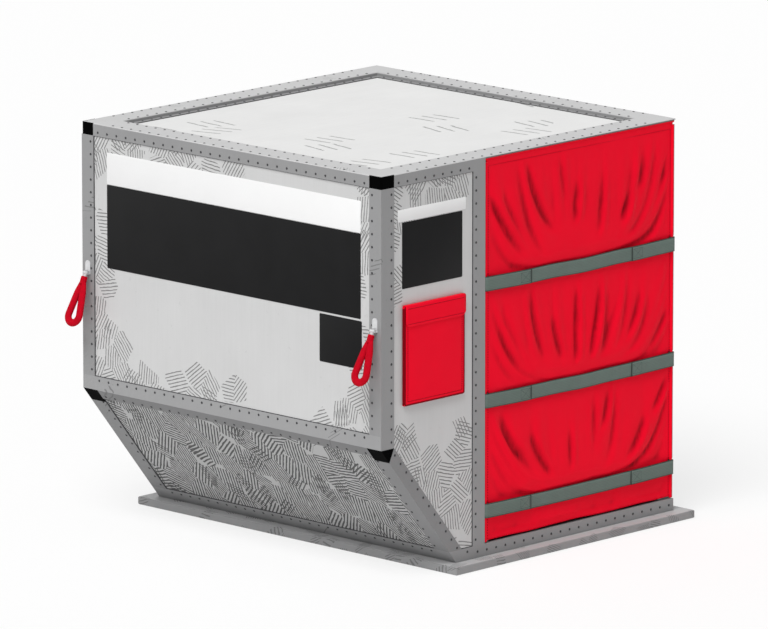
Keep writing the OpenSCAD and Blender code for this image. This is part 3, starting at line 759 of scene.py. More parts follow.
class CONTAINER_OT_rivets(bpy.types.Operator):
    """Sets rows of rivets along the frame's flanges"""

    bl_idname = "container.rivets"
    bl_label = "Rivets"

    def execute(self, context):
        sizes = context.scene.container_sizes
        bm = bmesh.new()
        for name, points, normal in outlines():
            if name == "roof":
                self.round_roof(bm, points, sizes)
                continue
            for a, b in grown(points, normal, sizes.rivet_edge):
                self.row(bm, a + normal * FLANGE_T, b + normal * FLANGE_T, normal, sizes)
        sill_z = (Z_SILL + Z_FOOT) / 2
        self.row(bm, Vector((DOOR_POST_X, -Y_FACE, sill_z)), Vector((X_IN, -Y_FACE, sill_z)), FRONT, sizes)
        heads = painted("rivet_heads", context.scene.container_colours.sealant, rough=0.45)
        keep("rivets", bm, heads, "container")
        return {"FINISHED"}

    def round_roof(self, bm, points, sizes):
        foot_top = UP * RIM_FOOT_T
        for a, b in grown(points, UP, RIM_FOOT / 2):
            self.row(bm, a + foot_top, b + foot_top, UP, sizes)
        lift = UP * (Z_TOP - ROOF_Z)
        for by in (RIM_FOOT + sizes.rivet_edge, RIM_FOOT + RIM_W - sizes.rivet_edge):
            for a, b in grown(points, UP, by):
                self.row(bm, a + lift, b + lift, UP, sizes)

    def row(self, bm, a, b, normal, sizes):
        count = max(1, round((b - a).length / sizes.rivet_pitch))
        turn = normal.to_track_quat("Z", "Y").to_matrix().to_4x4()
        press = Matrix.Diagonal((1.0, 1.0, sizes.rivet_rise / sizes.rivet_radius, 1.0))
        places = [Matrix.Translation(a.lerp(b, (i + 0.5) / count)) @ turn @ press for i in range(count)]
        add_beads(bm, places, sizes.rivet_radius, sides=8)


class CONTAINER_OT_seams(bpy.types.Operator):
    """Lays a bead of sealant along the edge of each panel"""

    bl_idname = "container.seams"
    bl_label = "Sealant seams"

    def execute(self, context):
        radius = context.scene.container_sizes.seam_radius
        bm = bmesh.new()
        for _, points, normal in outlines():
            sweep(bm, points, normal, [radius] * len(points), closed=True, segments=6)
        close_up(bm)
        sealant = painted("sealant", context.scene.container_colours.sealant, rough=0.55)
        keep("seams", bm, sealant, "container")
        return {"FINISHED"}


class CONTAINER_OT_signs(bpy.types.Operator):
    """Fixes the bare sign plates and pale strips to the walls"""

    bl_idname = "container.signs"
    bl_label = "Sign plates"

    # Name, finish, wall's normal, and two corners as place along the wall and height
    PLATES = (
        ("strip_outboard", "strip", OUTBOARD, (-0.616, 1.206), (0.596, 1.316)),
        ("sign_outboard", "sign", OUTBOARD, (-0.616, 0.912), (0.596, 1.204)),
        ("sign_small", "sign", OUTBOARD, (-0.621, 0.740), (-0.423, 0.905)),
        ("strip_front", "strip", FRONT, (-0.827, 1.243), (-0.497, 1.285)),
        ("sign_front", "sign", FRONT, (-0.806, 1.013), (-0.514, 1.240)),
    )
    CORNER_R = 0.004

    def execute(self, context):
        colours = context.scene.container_colours
        thick = context.scene.container_sizes.plate_t
        finishes = {
            kind: painted(f"{kind}_film", colour, rough=0.34, worn=shade(colour, worn), spread=spread)
            for kind, colour, worn, spread in (
                ("strip", colours.strip, 0.86, 0.03), ("sign", colours.sign, 2.2, 0.20))
        }
        for name, kind, normal, low, high in self.PLATES:
            wide, tall = high[0] - low[0], high[1] - low[1]
            mid, mid_z = (low[0] + high[0]) / 2, (low[1] + high[1]) / 2
            if normal == OUTBOARD:
                size, centre = (thick, wide, tall), Vector((PANEL_X - thick / 2, mid, mid_z))
            else:
                size, centre = (wide, thick, tall), Vector((mid, PANEL_Y - thick / 2, mid_z))
            bm = bmesh.new()
            form = Matrix.Translation(centre) @ Matrix.Diagonal((*size, 1.0))
            bmesh.ops.create_cube(bm, size=1.0, matrix=form)
            corners = [e for e in bm.edges if abs((e.verts[0].co - e.verts[1].co).dot(normal)) > thick / 2]
            self.round_off(bm, corners, self.CORNER_R, 3)
            rims = [e for e in bm.edges if all((v.co - centre).dot(normal) > 0 for v in e.verts)]
            self.round_off(bm, rims, thick * 0.4, 2)
            keep(name, bm, finishes[kind], "container")
        return {"FINISHED"}

    def round_off(self, bm, edges, radius, segments):
        bmesh.ops.bevel(
            bm, geom=edges, offset=radius, segments=segments, profile=0.5, affect="EDGES", material=-1)


def smooth_step(value, start=0.0, over=1.0):
    """0 up to start, then rising smoothly to 1 over a distance."""
    share = min(1.0, max(0.0, (value - start) / over))
    return share * share * (3.0 - 2.0 * share)


def strap_gap(z):
    """Distance of a height from the nearest strap's edge; negative behind a strap."""
    return min(abs(z - (low.z + high.z) / 2) - (high.z - low.z) / 2 for low, high in STRAP_ROWS.values())


def hang(piece, weights, sizes):
    """Lets a sheet settle under its own weight and gives its points; no modifier is left on it."""
    scene = bpy.context.scene
    group = piece.vertex_groups.new(name="pin")
    for index, weight in enumerate(weights):
        if weight > 0.0:
            group.add([index], weight, "REPLACE")
    cloth = add_modifier(piece, "CLOTH")
    settings = cloth.settings
    settings.quality = 6
    settings.mass = 0.28
    settings.air_damping = 1.5
    settings.tension_stiffness = 22.0
    settings.compression_stiffness = 16.0
    settings.shear_stiffness = 8.0
    settings.bending_stiffness = 0.6
    settings.vertex_group_mass = group.name
    settings.pin_stiffness = 1.0
    settings.shrink_min = -sizes.cloth_slack
    cloth.point_cache.frame_start = 1
    cloth.point_cache.frame_end = sizes.cloth_frames
    scene.gravity = (0.0, -0.35, -9.81)
    for step in range(1, sizes.cloth_frames + 1):
        scene.frame_set(step)
    shape = piece.evaluated_get(bpy.context.evaluated_depsgraph_get()).to_mesh()
    points = [v.co.copy() for v in shape.vertices]
    piece.modifiers.remove(cloth)
    piece.vertex_groups.remove(group)
    scene.frame_set(1)
    scene.gravity = (0.0, 0.0, -9.81)
    return points


class CONTAINER_OT_curtain(bpy.types.Operator):
    """Hangs the cloth curtain in its track, with hems, head bead and stitching"""

    bl_idname = "container.curtain"
    bl_label = "Curtain"

    FOLDS_PER_M = 24.0
    FOLD_LEAN = 0.62
    FOLD_W = (0.014, 0.027)
    FOLD_DEPTH = (0.008, 0.015)
    UNEVEN = 0.008
    # Depth at which the painted crease shade starts, and the depth over which it darkens fully
    MARK_FROM = 0.0007
    MARK_OVER = 0.0026
    FOOT_WAVE = 0.008
    SLIT_W = 0.012
    SEAM_IN = 0.0115
    HEAD_SEAM = 0.026
    # Pitch, length and thickness
    STITCH = (0.009, 0.006, 0.0016)
    STRAP_HOLD = 0.55
    FOOT_HOLD = 0.75
    STRAP_GAP = 0.0006
    BACK_AT_HEM = 0.0004
    BACK_AT_JAMB = 0.0060

    def execute(self, context):
        sizes = context.scene.container_sizes
        # folds=True adds painted shade in the curtain's creases
        material = coated_cloth("curtain_cloth", context.scene.container_colours.cloth, folds=True)
        bm = upright_grid(
            (HEM_LEFT, HEM_RIGHT), CURTAIN_Y, (CURTAIN_FOOT, HEAD_Z), sizes.cloth_columns, sizes.cloth_rows)
        creases = self.creases()
        for v in bm.verts:
            v.co.y += self.ruffle(v.co, creases) * (1.0 - self.held(v.co))
        piece = keep("curtain_cloth", bm, material, "curtain", ["curtain"], sharp=math.pi)
        mesh = piece.data
        points = [v.co.copy() for v in mesh.vertices]
        points = hang(piece, [self.held(at) for at in points], sizes)
        self.settle(mesh, points, sizes)
        add_modifier(piece, "SOLIDIFY", thickness=sizes.cloth_t, offset=0.0)
        hems = self.hems(material)
        thread = painted("curtain_thread", shade(context.scene.container_colours.cloth, 0.14), rough=0.6)
        seams = self.seams(thread, sizes)
        return {"FINISHED"}

    def creases(self):
        """Folds that hang in swags in each bay above a strap: x, start, lean, length, width, depth."""
        draw = random.Random(11)
        rows = sorted(STRAP_ROWS.values(), key=lambda box: -box[0].z)
        tops = [HEAD_Z - 0.02] + [low.z for low, _ in rows[:-1]]
        feet = [high.z for _, high in rows]
        found = []
        for top, foot in zip(tops, feet):
            count = max(2, round(self.FOLDS_PER_M * (top - foot)))
            for i in range(count):
                share = (i + draw.uniform(0.15, 0.85)) / count
                lean = self.FOLD_LEAN * math.cos(math.pi * share) + draw.uniform(-0.16, 0.16)
                length = (top - foot) * draw.uniform(0.40, 0.85)
                start = top - draw.uniform(0.0, 1.0) * (top - foot - length)
                x = HEM_LEFT + (HEM_RIGHT - HEM_LEFT) * share - 0.45 * lean * length
                width = draw.uniform(*self.FOLD_W)
                depth = draw.uniform(*self.FOLD_DEPTH)
                found.append((x, start, lean, length, width, depth))
        return found

    def ruffle(self, at, creases):
        """The sheet's start: a broad unevenness, and a ridge with a sharp valley along each crease."""
        out = self.UNEVEN * noise.noise(Vector((at.x * 5.0, 3.1, at.z * 3.0)))
        for x, z, lean, length, width, depth in creases:
            share = (z - at.z) / length
            if 0.0 < share < 1.0:
                bow = 0.25 * lean * length * share * share
                across = (at.x - x - lean * length * share - bow) / width
                if abs(across) < 4.0:
                    shape = math.exp(-2.2 * across * across) - 0.85 * math.exp(-0.8 * (across - 1.3) ** 2)
                    out += depth * shape * math.sin(math.pi * share) ** 0.7
        return out

    def held(self, at):
        """How firmly a point is held: by the track, the hems, the straps and the foot."""
        side = min(at.x - HEM_LEFT, HEM_RIGHT - at.x)
        edges = max(
            1.0 - smooth_step(HEAD_Z - at.z, 0.010, 0.045),
            1.0 - smooth_step(side, 0.010, 0.030),
            self.FOOT_HOLD * (1.0 - smooth_step(at.z - CURTAIN_FOOT, 0.004, 0.030)))
        return max(edges, self.STRAP_HOLD * (1.0 - smooth_step(strap_gap(at.z), 0.0, 0.012)))

    def clear(self, at, sizes):
        """Keeps a point behind the straps, in front of the jambs and above the sill."""
        side = min(at.x - HEM_LEFT, HEM_RIGHT - at.x)
        drop = HEAD_Z - at.z
        strap = smooth_step(strap_gap(at.z), 0.004, 0.085)
        edge = smooth_step(side, 0.012, 0.060) * smooth_step(drop, 0.008, 0.070)
        behind_strap = BAND_Y + (WEBBING_T + sizes.cloth_t) / 2 + self.STRAP_GAP
        front = behind_strap - (sizes.bulge_front - (CURTAIN_Y - behind_strap)) * strap * edge
        front = max(front, CURTAIN_Y - sizes.bulge_front)
        deep = smooth_step(side, 0.075, 0.060) * smooth_step(drop, 0.060, 0.060)
        back = CURTAIN_Y + self.BACK_AT_HEM + self.BACK_AT_JAMB * edge
        back += (sizes.bulge_back - self.BACK_AT_JAMB) * deep
        wave = 0.5 + 0.5 * noise.noise(Vector((at.x * 7.0, 1.3, 0.0)))
        rise = self.FOOT_WAVE * wave * (1.0 - smooth_step(at.z, CURTAIN_FOOT, 0.055))
        return Vector((at.x, min(max(at.y, front), back), max(at.z, CURTAIN_FOOT) + rise))

    def settle(self, mesh, points, sizes):
        """Gives the mesh its hung points, pressed and clear of the neighbours, with slits and the painted
        shade of its creases.
        """
        bm = bmesh.new()
        bm.from_mesh(mesh)
        for vert, point in zip(bm.verts, points):
            vert.co = point
        self.press(bm)
        for vert in bm.verts:
            vert.co = self.clear(vert.co, sizes)
        self.cut_slits(bm)
        self.mark_fold_shade(bm)
        bm.to_mesh(mesh)
        bm.free()

    def press(self, bm):
        """Takes the grid's own steps out of the slanting folds."""
        inner = [v for v in bm.verts if not v.is_boundary]
        for _ in range(5):
            bmesh.ops.smooth_vert(
                bm, verts=inner, factor=0.5, use_axis_x=False, use_axis_y=True, use_axis_z=False)

    def cut_slits(self, bm):
        """Opens the cloth beside the hems where the straps pass through."""
        slits = []
        for face in bm.faces:
            at = face.calc_center_median()
            if min(at.x - HEM_LEFT, HEM_RIGHT - at.x) < self.SLIT_W and strap_gap(at.z) < 0.002:
                slits.append(face)
        bmesh.ops.delete(bm, geom=slits, context="FACES")

    def mark_fold_shade(self, bm):
        """Writes how deep each point lies in a crease, as painted shade in the cloth's colour."""
        fold_shade = bm.verts.layers.float.new(FOLD_SHADE)
        bm.verts.index_update()
        links = [[e.other_vert(v).index for e in v.link_edges] for v in bm.verts]
        heights = [v.co.y for v in bm.verts]
        flat = self.evened(heights, links, passes=24)
        deep = [smooth_step(y - even, self.MARK_FROM, self.MARK_OVER) for y, even in zip(heights, flat)]
        for v, value in zip(bm.verts, self.evened(deep, links, passes=3)):
            v[fold_shade] = value

    def evened(self, values, links, passes):
        """Draws each value half way to the mean of its neighbours, a few times over."""
        for _ in range(passes):
            means = [sum(values[i] for i in near) / len(near) for near in links]
            values = [0.5 * own + 0.5 * mean for own, mean in zip(values, means)]
        return values

    def hems(self, material):
        """Tube hems round the edge bars, and the head bead."""
        bm = bmesh.new()
        steps = 48
        for x in (HEM_LEFT, HEM_RIGHT):
            path = [Vector((x, CURTAIN_Y, CURTAIN_FOOT + (HEM_TOP - CURTAIN_FOOT) * i / steps))
                    for i in range(steps + 1)]
            radii = [HEM_R * (0.985 + 0.015 * noise.noise(p * 22.0)) for p in path]
            sweep(bm, path, FRONT, radii, segments=12)
        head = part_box("curtain")
        ends = [Vector((x, CURTAIN_Y, HEAD_Z)) for x in (head[0].x, head[1].x - 0.001)]
        sweep(bm, ends, UP, [BEAD_R] * 2, segments=10)
        close_up(bm)
        return keep("curtain_hems", bm, material, "curtain")

    def seams(self, thread, sizes):
        """A row of stitches under the head and one beside each hem, left out behind the straps."""
        bm = bmesh.new()
        front = CURTAIN_Y - sizes.cloth_t / 2 - STITCH_UP
        z = HEAD_Z - self.HEAD_SEAM
        rows = [((HEM_LEFT + self.SLIT_W, z), (HEM_RIGHT - self.SLIT_W, z))]
        stops = [CURTAIN_FOOT + 0.006]
        for low, high in sorted(STRAP_ROWS.values(), key=lambda box: box[0].z):
            stops += [low.z - 0.004, high.z + 0.004]
        stops.append(z)
        for x in (HEM_LEFT + self.SEAM_IN, HEM_RIGHT - self.SEAM_IN):
            rows += [((x, low), (x, high)) for low, high in zip(stops[::2], stops[1::2])]
        for (xa, za), (xb, zb) in rows:
            sew(bm, Vector((xa, front, za)), Vector((xb, front, zb)), None, *self.STITCH)
        return keep("curtain_stitches", bm, thread, "curtain")


class CONTAINER_OT_straps(bpy.types.Operator):
    """Loops the webbing straps round the curtain's hems and sews their tails"""

    bl_idname = "container.straps"
    bl_label = "Straps"

    # Pitch, length and thickness
    STITCH = (0.0056, 0.0038, 0.0011)
    BOX_HALF = 0.017
    BOX_NEAR = 0.052
    BOX_FAR = 0.008
    BELLY = 0.003

    def execute(self, context):
        sizes = context.scene.container_sizes
        course = self.course()
        runs = [0.0]
        for start, end in zip(course, course[1:]):
            runs.append(runs[-1] + math.dist(start, end))
        low, high = STRAP_ROWS["strap_top"]
        colour = context.scene.container_colours.webbing
        webbing = ribbed_webbing("strap_webbing", colour, high.z - low.z, runs[-1])
        thread = painted("strap_thread", shade(colour, 0.2), rough=0.6)
        seams = bmesh.new()
        for number, (name, (low, high)) in enumerate(STRAP_ROWS.items()):
            sag = partial(self.sagged, number, sizes.strap_sag)
            self.strap(name, zip(course, runs), (low.z, high.z), sag, webbing)
            self.stitches(seams, (low.z + high.z) / 2, sag)
        keep("strap_stitches", seams, thread, "curtain")
        return {"FINISHED"}

    def sagged(self, number, sag, at):
        """The strap's own hang: lower and a little further out towards its middle."""
        share = (2.0 * at.x - HEM_LEFT - HEM_RIGHT) / (HEM_RIGHT - HEM_LEFT)
        loose = max(0.0, 1.0 - share * share)
        ripple = noise.noise(Vector((at.x * 6.0, 5.0 * number, 0.0)))
        return Vector((at.x, at.y - self.BELLY * loose, at.z - loose * (sag + self.BELLY * ripple)))

    def course(self):
        """Plan of a strap: tail, turn round the left hem, band, turn round the right hem, tail."""
        tail_steps, turn_steps, band_steps = 16, 28, 72
        turn = []
        for i in range(turn_steps + 1):
            angle = -math.pi / 2 - 2.0 * math.pi * i / turn_steps
            radius = RING_MID + WEBBING_PITCH * (1.0 - smooth_step(4.0 * i / turn_steps))
            turn.append((HEM_LEFT + radius * math.cos(angle), CURTAIN_Y + radius * math.sin(angle)))
        tail = [(HEM_LEFT + TAIL_LEN * (1.0 - i / tail_steps), TAIL_Y) for i in range(tail_steps)]
        left = tail + turn
        right = [(HEM_LEFT + HEM_RIGHT - x, y) for x, y in reversed(left)]
        span = HEM_RIGHT - HEM_LEFT
        band = [(HEM_LEFT + span * i / band_steps, BAND_Y) for i in range(1, band_steps)]
        return left + band + right

    def strap(self, name, course, heights, sag, material):
        low_z, high_z = heights
        bm = bmesh.new()
        along = bm.verts.layers.float.new("run")
        row = []
        for (x, y), run in course:
            vert = bm.verts.new((x, y, low_z))
            vert[along] = run
            row.append(vert)
        edges = [bm.edges.new(pair) for pair in zip(row, row[1:])]
        rows = 4
        for _ in range(rows):
            row, edges = pulled(bm, edges)
            bmesh.ops.translate(bm, vec=UP * (high_z - low_z) / rows, verts=row)
        weave = bm.loops.layers.uv.new(WEAVE_MAP)
        for face in bm.faces:
            for loop in face.loops:
                loop[weave].uv = (loop.vert[along], loop.vert.co.z - low_z)
        for v in bm.verts:
            v.co = sag(v.co)
        bmesh.ops.recalc_face_normals(bm, faces=bm.faces)
        piece = keep(f"{name}_webbing", bm, material, "curtain", [name])
        add_modifier(piece, "SOLIDIFY", thickness=WEBBING_T, offset=0.0)

    def stitches(self, bm, mid_z, sag):
        """A sewn box with its cross at each tail's end."""
        y = TAIL_Y - WEBBING_T / 2
        low, high = mid_z - self.BOX_HALF, mid_z + self.BOX_HALF
        for sign, hem in ((1.0, HEM_LEFT), (-1.0, HEM_RIGHT)):
            near = hem + sign * (TAIL_LEN - self.BOX_NEAR)
            far = hem + sign * (TAIL_LEN - self.BOX_FAR)
            box = [Vector((x, y, z)) for x, z in (
                (near, low), (far, low), (far, high), (near, high), (near, low), (far, high), (far, low),
                (near, high))]
            for start, end in zip(box, box[1:]):
                sew(bm, start, end, sag, *self.STITCH)


class CONTAINER_OT_pouch(bpy.types.Operator):
    """Sews the document pouch with its bound edge, and its flap on the flap's own body"""

    bl_idname = "container.pouch"
    bl_label = "Document pouch"

    LOW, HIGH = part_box("document_pouch")
    FLAP_LOW, FLAP_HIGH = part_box("pouch_flap")
    CORNER_R = 0.012
    WALL_GAP = 0.0002
    EDGE_UP = 0.0112
    FULLNESS = 0.0043
    CLOTH_T = 0.0016
    SEAM_IN = 0.014
    FLAP_SEAM_IN = 0.010
    # Above the flap's foot and below its top
    FLAP_SEAMS = (0.009, 0.012)
    # Pitch, length and thickness
    STITCH = (0.0062, 0.0050, 0.0019)
    PIPING_IN = 0.0022
    PIPING_R = 0.0026
    TAPE_R = 0.0046
    TAPE_OVAL = 1.2
    TAPE_BACK = 0.0052
    BEND_R = 0.005

    def execute(self, context):
        colour = context.scene.container_colours.cloth
        cloth = coated_cloth("pouch_cloth", colour, weave=0.0022)
        binding = coated_cloth("pouch_binding", shade(colour, 0.22), weave=0.0016)
        thread = painted("pouch_thread", shade(colour, 0.10), rough=0.6)
        self.bag(cloth)
        self.bound_edge(binding)
        self.flap(cloth)
        self.seams(thread)
        return {"FINISHED"}

    def front(self, at):
        """The bag's front face over its back: full in the middle, thin at its sewn edge."""
        u = abs(2.0 * (at.x - self.LOW.x) / (self.HIGH.x - self.LOW.x) - 1.0)
        w = 2.0 * (at.z - self.LOW.z) / (self.HIGH.z - self.LOW.z) - 1.0
        full = (1.0 - u ** 8) * (1.0 - abs(w) ** 10) * (0.93 - 0.07 * w)
        papers = 0.5 + 0.5 * noise.noise(Vector((at.x * 9.0, 2.2, at.z * 7.0)))
        return self.HIGH.y - self.EDGE_UP - self.FULLNESS * full * (0.80 + 0.20 * papers)

    def on_bag(self, at):
        """Sets a stitch on the bag's front."""
        return Vector((at.x, self.front(at) - STITCH_UP, at.z))

    def bag(self, material):
        low, high = self.LOW, self.HIGH
        bm = upright_grid((low.x, high.x), high.y, (low.z, high.z), columns=26, rows=30)
        for v in bm.verts:
            v.co.y = self.front(v.co)
        back, rim = pulled(bm, [e for e in bm.edges if e.is_boundary])
        for v in back:
            v.co.y = high.y - self.WALL_GAP
        bmesh.ops.contextual_create(bm, geom=rim)
        close_up(bm)
        piece = keep("pouch_bag", bm, material, "container", ["document_pouch"])
        add_modifier(piece, "BEVEL", width=0.0012, segments=2, limit_method="ANGLE")

    def bound_edge(self, material):
        """Piping round the front, and a tape over the sides and the foot that ends below the flap."""
        bm = bmesh.new()
        y = self.HIGH.y - self.EDGE_UP
        r = self.BEND_R
        left, right = self.LOW.x + self.PIPING_IN + r, self.HIGH.x - self.PIPING_IN - r
        foot, head = self.LOW.z + self.PIPING_IN + r, self.HIGH.z - self.PIPING_IN - r
        path = []
        steps = 6
        for x, z, start in ((right, foot, -90), (right, head, 0), (left, head, 90), (left, foot, 180)):
            for i in range(steps + 1):
                angle = math.radians(start + 90.0 * i / steps)
                path.append(Vector((x + r * math.cos(angle), y, z + r * math.sin(angle))))
        sweep(bm, path, FRONT, [self.PIPING_R] * len(path), closed=True, segments=8)
        left_top = 3 * steps + 2
        right_top = steps + 1
        tape = [at + REAR * self.TAPE_BACK for at in path[left_top:] + path[:right_top + 1]]
        sweep(bm, tape, FRONT, [self.TAPE_R] * len(tape), segments=12, oval=self.TAPE_OVAL)
        close_up(bm)
        keep("pouch_piping", bm, material, "container")

    def flap(self, material):
        """Section of the flap from its hinge over the mouth and down, drawn across the pouch."""
        low, high = self.FLAP_LOW, self.FLAP_HIGH
        hinge = high.y - 0.0016
        front = low.y + 0.0010
        top = high.z - 0.0008
        section = [
            (hinge, top - 0.0006), (hinge - 0.005, top), (front + 0.0050, top),
            (front + 0.0016, top - 0.0012), (front + 0.0002, top - 0.0045), (front, top - 0.012),
            (front, top - 0.026), (front, top - 0.042), (front, top - 0.057), (front, low.z + 0.004),
            (front, low.z + 0.0006)
        ]
        bm = bmesh.new()
        row = [bm.verts.new((low.x, y, z)) for y, z in section]
        edges = [bm.edges.new(pair) for pair in zip(row, row[1:])]
        steps = 24
        for _ in range(steps):
            row, edges = pulled(bm, edges)
            bmesh.ops.translate(bm, vec=INBOARD * (high.x - low.x) / steps, verts=row)
        for v in bm.verts:
            drop = smooth_step(top - v.co.z, 0.010, 0.060)
            v.co.y += 0.0007 * drop * noise.noise(Vector((v.co.x * 30.0, 4.4, v.co.z * 20.0)))
            side = min(v.co.x - low.x, high.x - v.co.x)
            r = self.CORNER_R
            if v.co.z < low.z + r and side < r:
                v.co.z += r - math.sqrt(max(0.0, r ** 2 - (r - side) ** 2))
        bmesh.ops.recalc_face_normals(bm, faces=bm.faces)
        piece = keep("pouch_flap_cloth", bm, material, "pouch_flap", ["pouch_flap"])
        add_modifier(piece, "SOLIDIFY", thickness=self.CLOTH_T, offset=0.0)

    def seams(self, thread):
        low, high = self.LOW, self.HIGH
        left, right, foot = low.x + self.SEAM_IN, high.x - self.SEAM_IN, low.z + self.SEAM_IN
        bm = bmesh.new()
        corner = [Vector((x, 0.0, z)) for x, z in (
            (left, self.FLAP_LOW.z), (left, foot), (right, foot), (right, self.FLAP_LOW.z))]
        for start, end in zip(corner, corner[1:]):
            sew(bm, start, end, self.on_bag, *self.STITCH)
        keep("pouch_stitches", bm, thread, "container")
        bm = bmesh.new()
        front = self.FLAP_LOW.y + STITCH_UP
        ends = low.x + self.FLAP_SEAM_IN, high.x - self.FLAP_SEAM_IN
        for z in (self.FLAP_LOW.z + self.FLAP_SEAMS[0], self.FLAP_HIGH.z - self.FLAP_SEAMS[1]):
            start, end = (Vector((x, front, z)) for x in ends)
            sew(bm, start, end, None, *self.STITCH)
        keep("flap_stitches", bm, thread, "pouch_flap")


class CONTAINER_OT_loops(bpy.types.Operator):
    """Makes the padded pull loops on the outboard posts"""

    bl_idname = "container.loops"
    bl_label = "Pull loops"

    LEAN = math.radians(22.0)
    LEG_OFF = 0.005
    LEG_TOP = 0.030
    BEND_Z = 0.153
    BEND_R = 0.026
    LEG_TURN = math.radians(10.4)
    LEG_R = 0.0085
    BEND_TUBE = 0.0138
    OVAL = 0.78
    SWELL = 2.6
    # Distance below the pin and radius
    SLEEVE = (
        (0.013, 0.0095), (0.0145, 0.0115), (0.022, 0.0119),
        (0.034, 0.0119), (0.041, 0.0117), (0.0445, 0.0098))

    def execute(self, context):
        material = sleeve_cloth("loop_sleeve", context.scene.container_colours.cloth)
        for end in ("front", "rear"):
            low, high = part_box(f"loop_pin_{end}")
            pivot = (low + high) / 2
            at_rest = Matrix.Translation(pivot) @ Matrix.Rotation(self.LEAN, 4, "Y")
            bm = bmesh.new()
            path, radii = self.teardrop()
            sweep(bm, path, INBOARD, radii, segments=14, oval=self.OVAL)
            sleeve = [Vector((0.0, 0.0, -z)) for z, _ in self.SLEEVE]
            sweep(bm, sleeve, INBOARD, [r for _, r in self.SLEEVE], segments=16)
            bmesh.ops.transform(bm, matrix=at_rest, verts=bm.verts)
            close_up(bm)
            name = f"pull_loop_{end}"
            piece = keep(f"{name}_sleeve", bm, material, name, [name])
            add_modifier(piece, "SUBSURF", levels=1, render_levels=1)
        return {"FINISHED"}

    def on_bend(self, angle):
        """Y and Z of a point of the round end."""
        return self.BEND_R * math.cos(angle), self.BEND_R * math.sin(angle) - self.BEND_Z

    def teardrop(self):
        """Middle line of the loop and its radius: leg, round end, leg."""
        bend = self.on_bend(self.LEG_TURN)
        leg = []
        steps = 9
        for i in range(steps):
            share = i / steps
            y = self.LEG_OFF + (bend[0] - self.LEG_OFF) * share
            z = -self.LEG_TOP + (bend[1] + self.LEG_TOP) * share
            r = self.LEG_R + (self.BEND_TUBE - self.LEG_R) * smooth_step(self.SWELL * share)
            leg.append((y, z, r))
        curve = []
        turns = 22
        for i in range(turns + 1):
            angle = self.LEG_TURN - (math.pi + 2.0 * self.LEG_TURN) * i / turns
            curve.append((*self.on_bend(angle), self.BEND_TUBE))
        points = leg + curve + [(-y, z, r) for y, z, r in reversed(leg)]
        return [Vector((0.0, y, z)) for y, z, _ in points], [r for _, _, r in points]


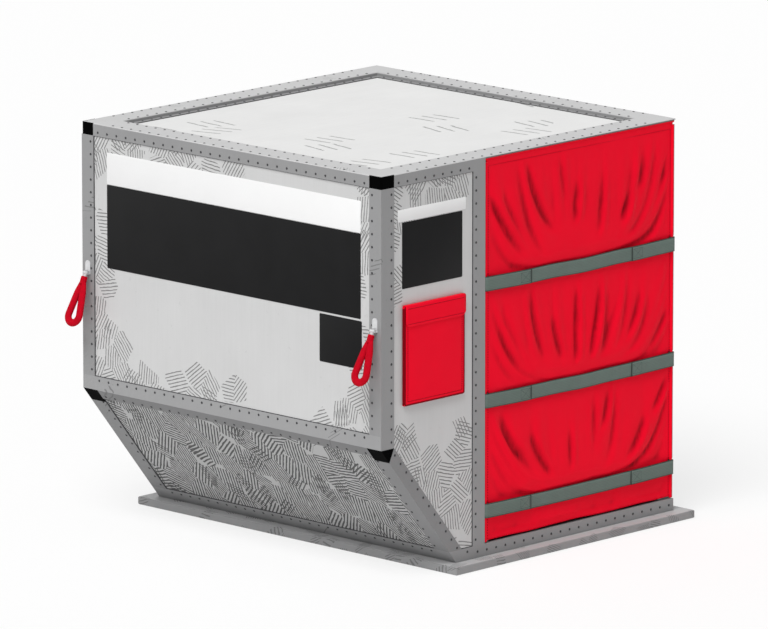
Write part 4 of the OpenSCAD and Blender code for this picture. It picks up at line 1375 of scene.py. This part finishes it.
class CONTAINER_OT_stage(bpy.types.Operator):
    """Sets the pale floor, the soft light and the camera"""

    bl_idname = "container.stage"
    bl_label = "Stage"

    FLOOR_R = 90.0
    FLOOR_Z = -0.001
    CLIP_END = 300.0

    def execute(self, context):
        stage = context.scene.container_stage
        context.scene.view_settings.view_transform = "Standard"
        self.floor(stage)
        self.light(context.scene, stage)
        self.camera(context.scene, stage)
        return {"FINISHED"}

    def seen(self, nodes):
        """1 for the rays that show the background: camera, glossy and transmission."""
        ray = nodes.node("ShaderNodeLightPath", output="Is Camera Ray")
        return ray.most(ray.other("Is Glossy Ray")).most(ray.other("Is Transmission Ray"))

    def floor(self, stage):
        finish = Finish("stage_floor")
        finish.surface(Base_Color=(0.95, 0.95, 0.95), Roughness=0.9)
        white = finish.node("ShaderNodeEmission", None, {"Color": (1.0, 1.0, 1.0), "Strength": 1.0})
        shown = self.seen(finish) * stage.floor_lift
        lit = Value(finish, finish.shader.outputs[0])
        mixed = finish.node("ShaderNodeMixShader", None, {0: shown, 1: lit, 2: white})
        end = next(n for n in finish.tree.nodes if n.type == "OUTPUT_MATERIAL")
        finish.feed(end.inputs["Surface"], mixed)
        bm = bmesh.new()
        under = Matrix.Translation(UP * self.FLOOR_Z)
        bmesh.ops.create_circle(bm, cap_ends=True, segments=64, radius=self.FLOOR_R, matrix=under)
        mesh = bpy.data.meshes.new("stage_floor")
        bm.to_mesh(mesh)
        bm.free()
        mesh.materials.append(finish.material)
        floor = bpy.data.objects.new("stage_floor", mesh)
        bpy.context.scene.collection.objects.link(floor)

    def light(self, scene, stage):
        sun = bpy.data.lights.new("soft_sun", "SUN")
        sun.energy = stage.sun_strength
        sun.angle = stage.sun_spread
        lamp = bpy.data.objects.new("soft_sun", sun)
        lamp.rotation_euler = Vector(stage.sun_from).to_track_quat("Z", "Y").to_euler()
        scene.collection.objects.link(lamp)
        scene.world = bpy.data.worlds.new("pale_room")
        scene.world.use_nodes = True
        room = Nodes(scene.world.node_tree)
        back = next(n for n in room.tree.nodes if n.type == "BACKGROUND")
        room.feed(back.inputs["Color"], (1.0, 1.0, 1.0))
        room.feed(back.inputs["Strength"], self.seen(room) * (1.0 - stage.ambient) + stage.ambient)

    def camera(self, scene, stage):
        lens = bpy.data.cameras.new("camera")
        lens.lens = stage.lens
        lens.clip_end = self.CLIP_END
        eye = bpy.data.objects.new("camera", lens)
        right = Vector((math.cos(stage.azimuth), math.sin(stage.azimuth), 0.0))
        level = math.cos(stage.elevation)
        back = Vector((right.y * level, -right.x * level, math.sin(stage.elevation)))
        target = Vector(stage.aim) + right * stage.aim_right + back.cross(right) * stage.aim_up
        eye.location = target + back * stage.distance
        eye.rotation_euler = back.to_track_quat("Z", "Y").to_euler()
        scene.collection.objects.link(eye)
        scene.camera = eye


class CONTAINER_PT_panel(bpy.types.Panel):
    """Lists the container's pieces and their settings"""

    bl_idname = "CONTAINER_PT_panel"
    bl_label = "Container"
    bl_space_type = "VIEW_3D"
    bl_region_type = "UI"
    bl_category = "Container"

    def draw(self, context):
        for operator in OPERATORS:
            self.layout.operator(operator.bl_idname)
        for name, kind in SETTINGS.items():
            column = self.layout.column()
            for key in kind.__annotations__:
                column.prop(getattr(context.scene, name), key)


OPERATORS = (
    CONTAINER_OT_metal, CONTAINER_OT_rivets, CONTAINER_OT_seams, CONTAINER_OT_signs, CONTAINER_OT_curtain,
    CONTAINER_OT_straps, CONTAINER_OT_pouch, CONTAINER_OT_loops, CONTAINER_OT_stage
)
SETTINGS = {
    "container_colours": ContainerColours,
    "container_sizes": ContainerSizes,
    "container_stage": ContainerStage,
}
CLASSES = (*SETTINGS.values(), *OPERATORS, CONTAINER_PT_panel)


def register():
    for kind in CLASSES:
        bpy.utils.register_class(kind)
    for name, kind in SETTINGS.items():
        setattr(bpy.types.Scene, name, PointerProperty(type=kind))


def unregister():
    for name in SETTINGS:
        delattr(bpy.types.Scene, name)
    for kind in reversed(CLASSES):
        bpy.utils.unregister_class(kind)


def main():
    register()
    bpy.ops.container.metal()
    bpy.ops.container.rivets()
    bpy.ops.container.seams()
    bpy.ops.container.signs()
    bpy.ops.container.curtain()
    bpy.ops.container.straps()
    bpy.ops.container.pouch()
    bpy.ops.container.loops()
    bpy.ops.container.stage()


if __name__ == "__main__":
    main()
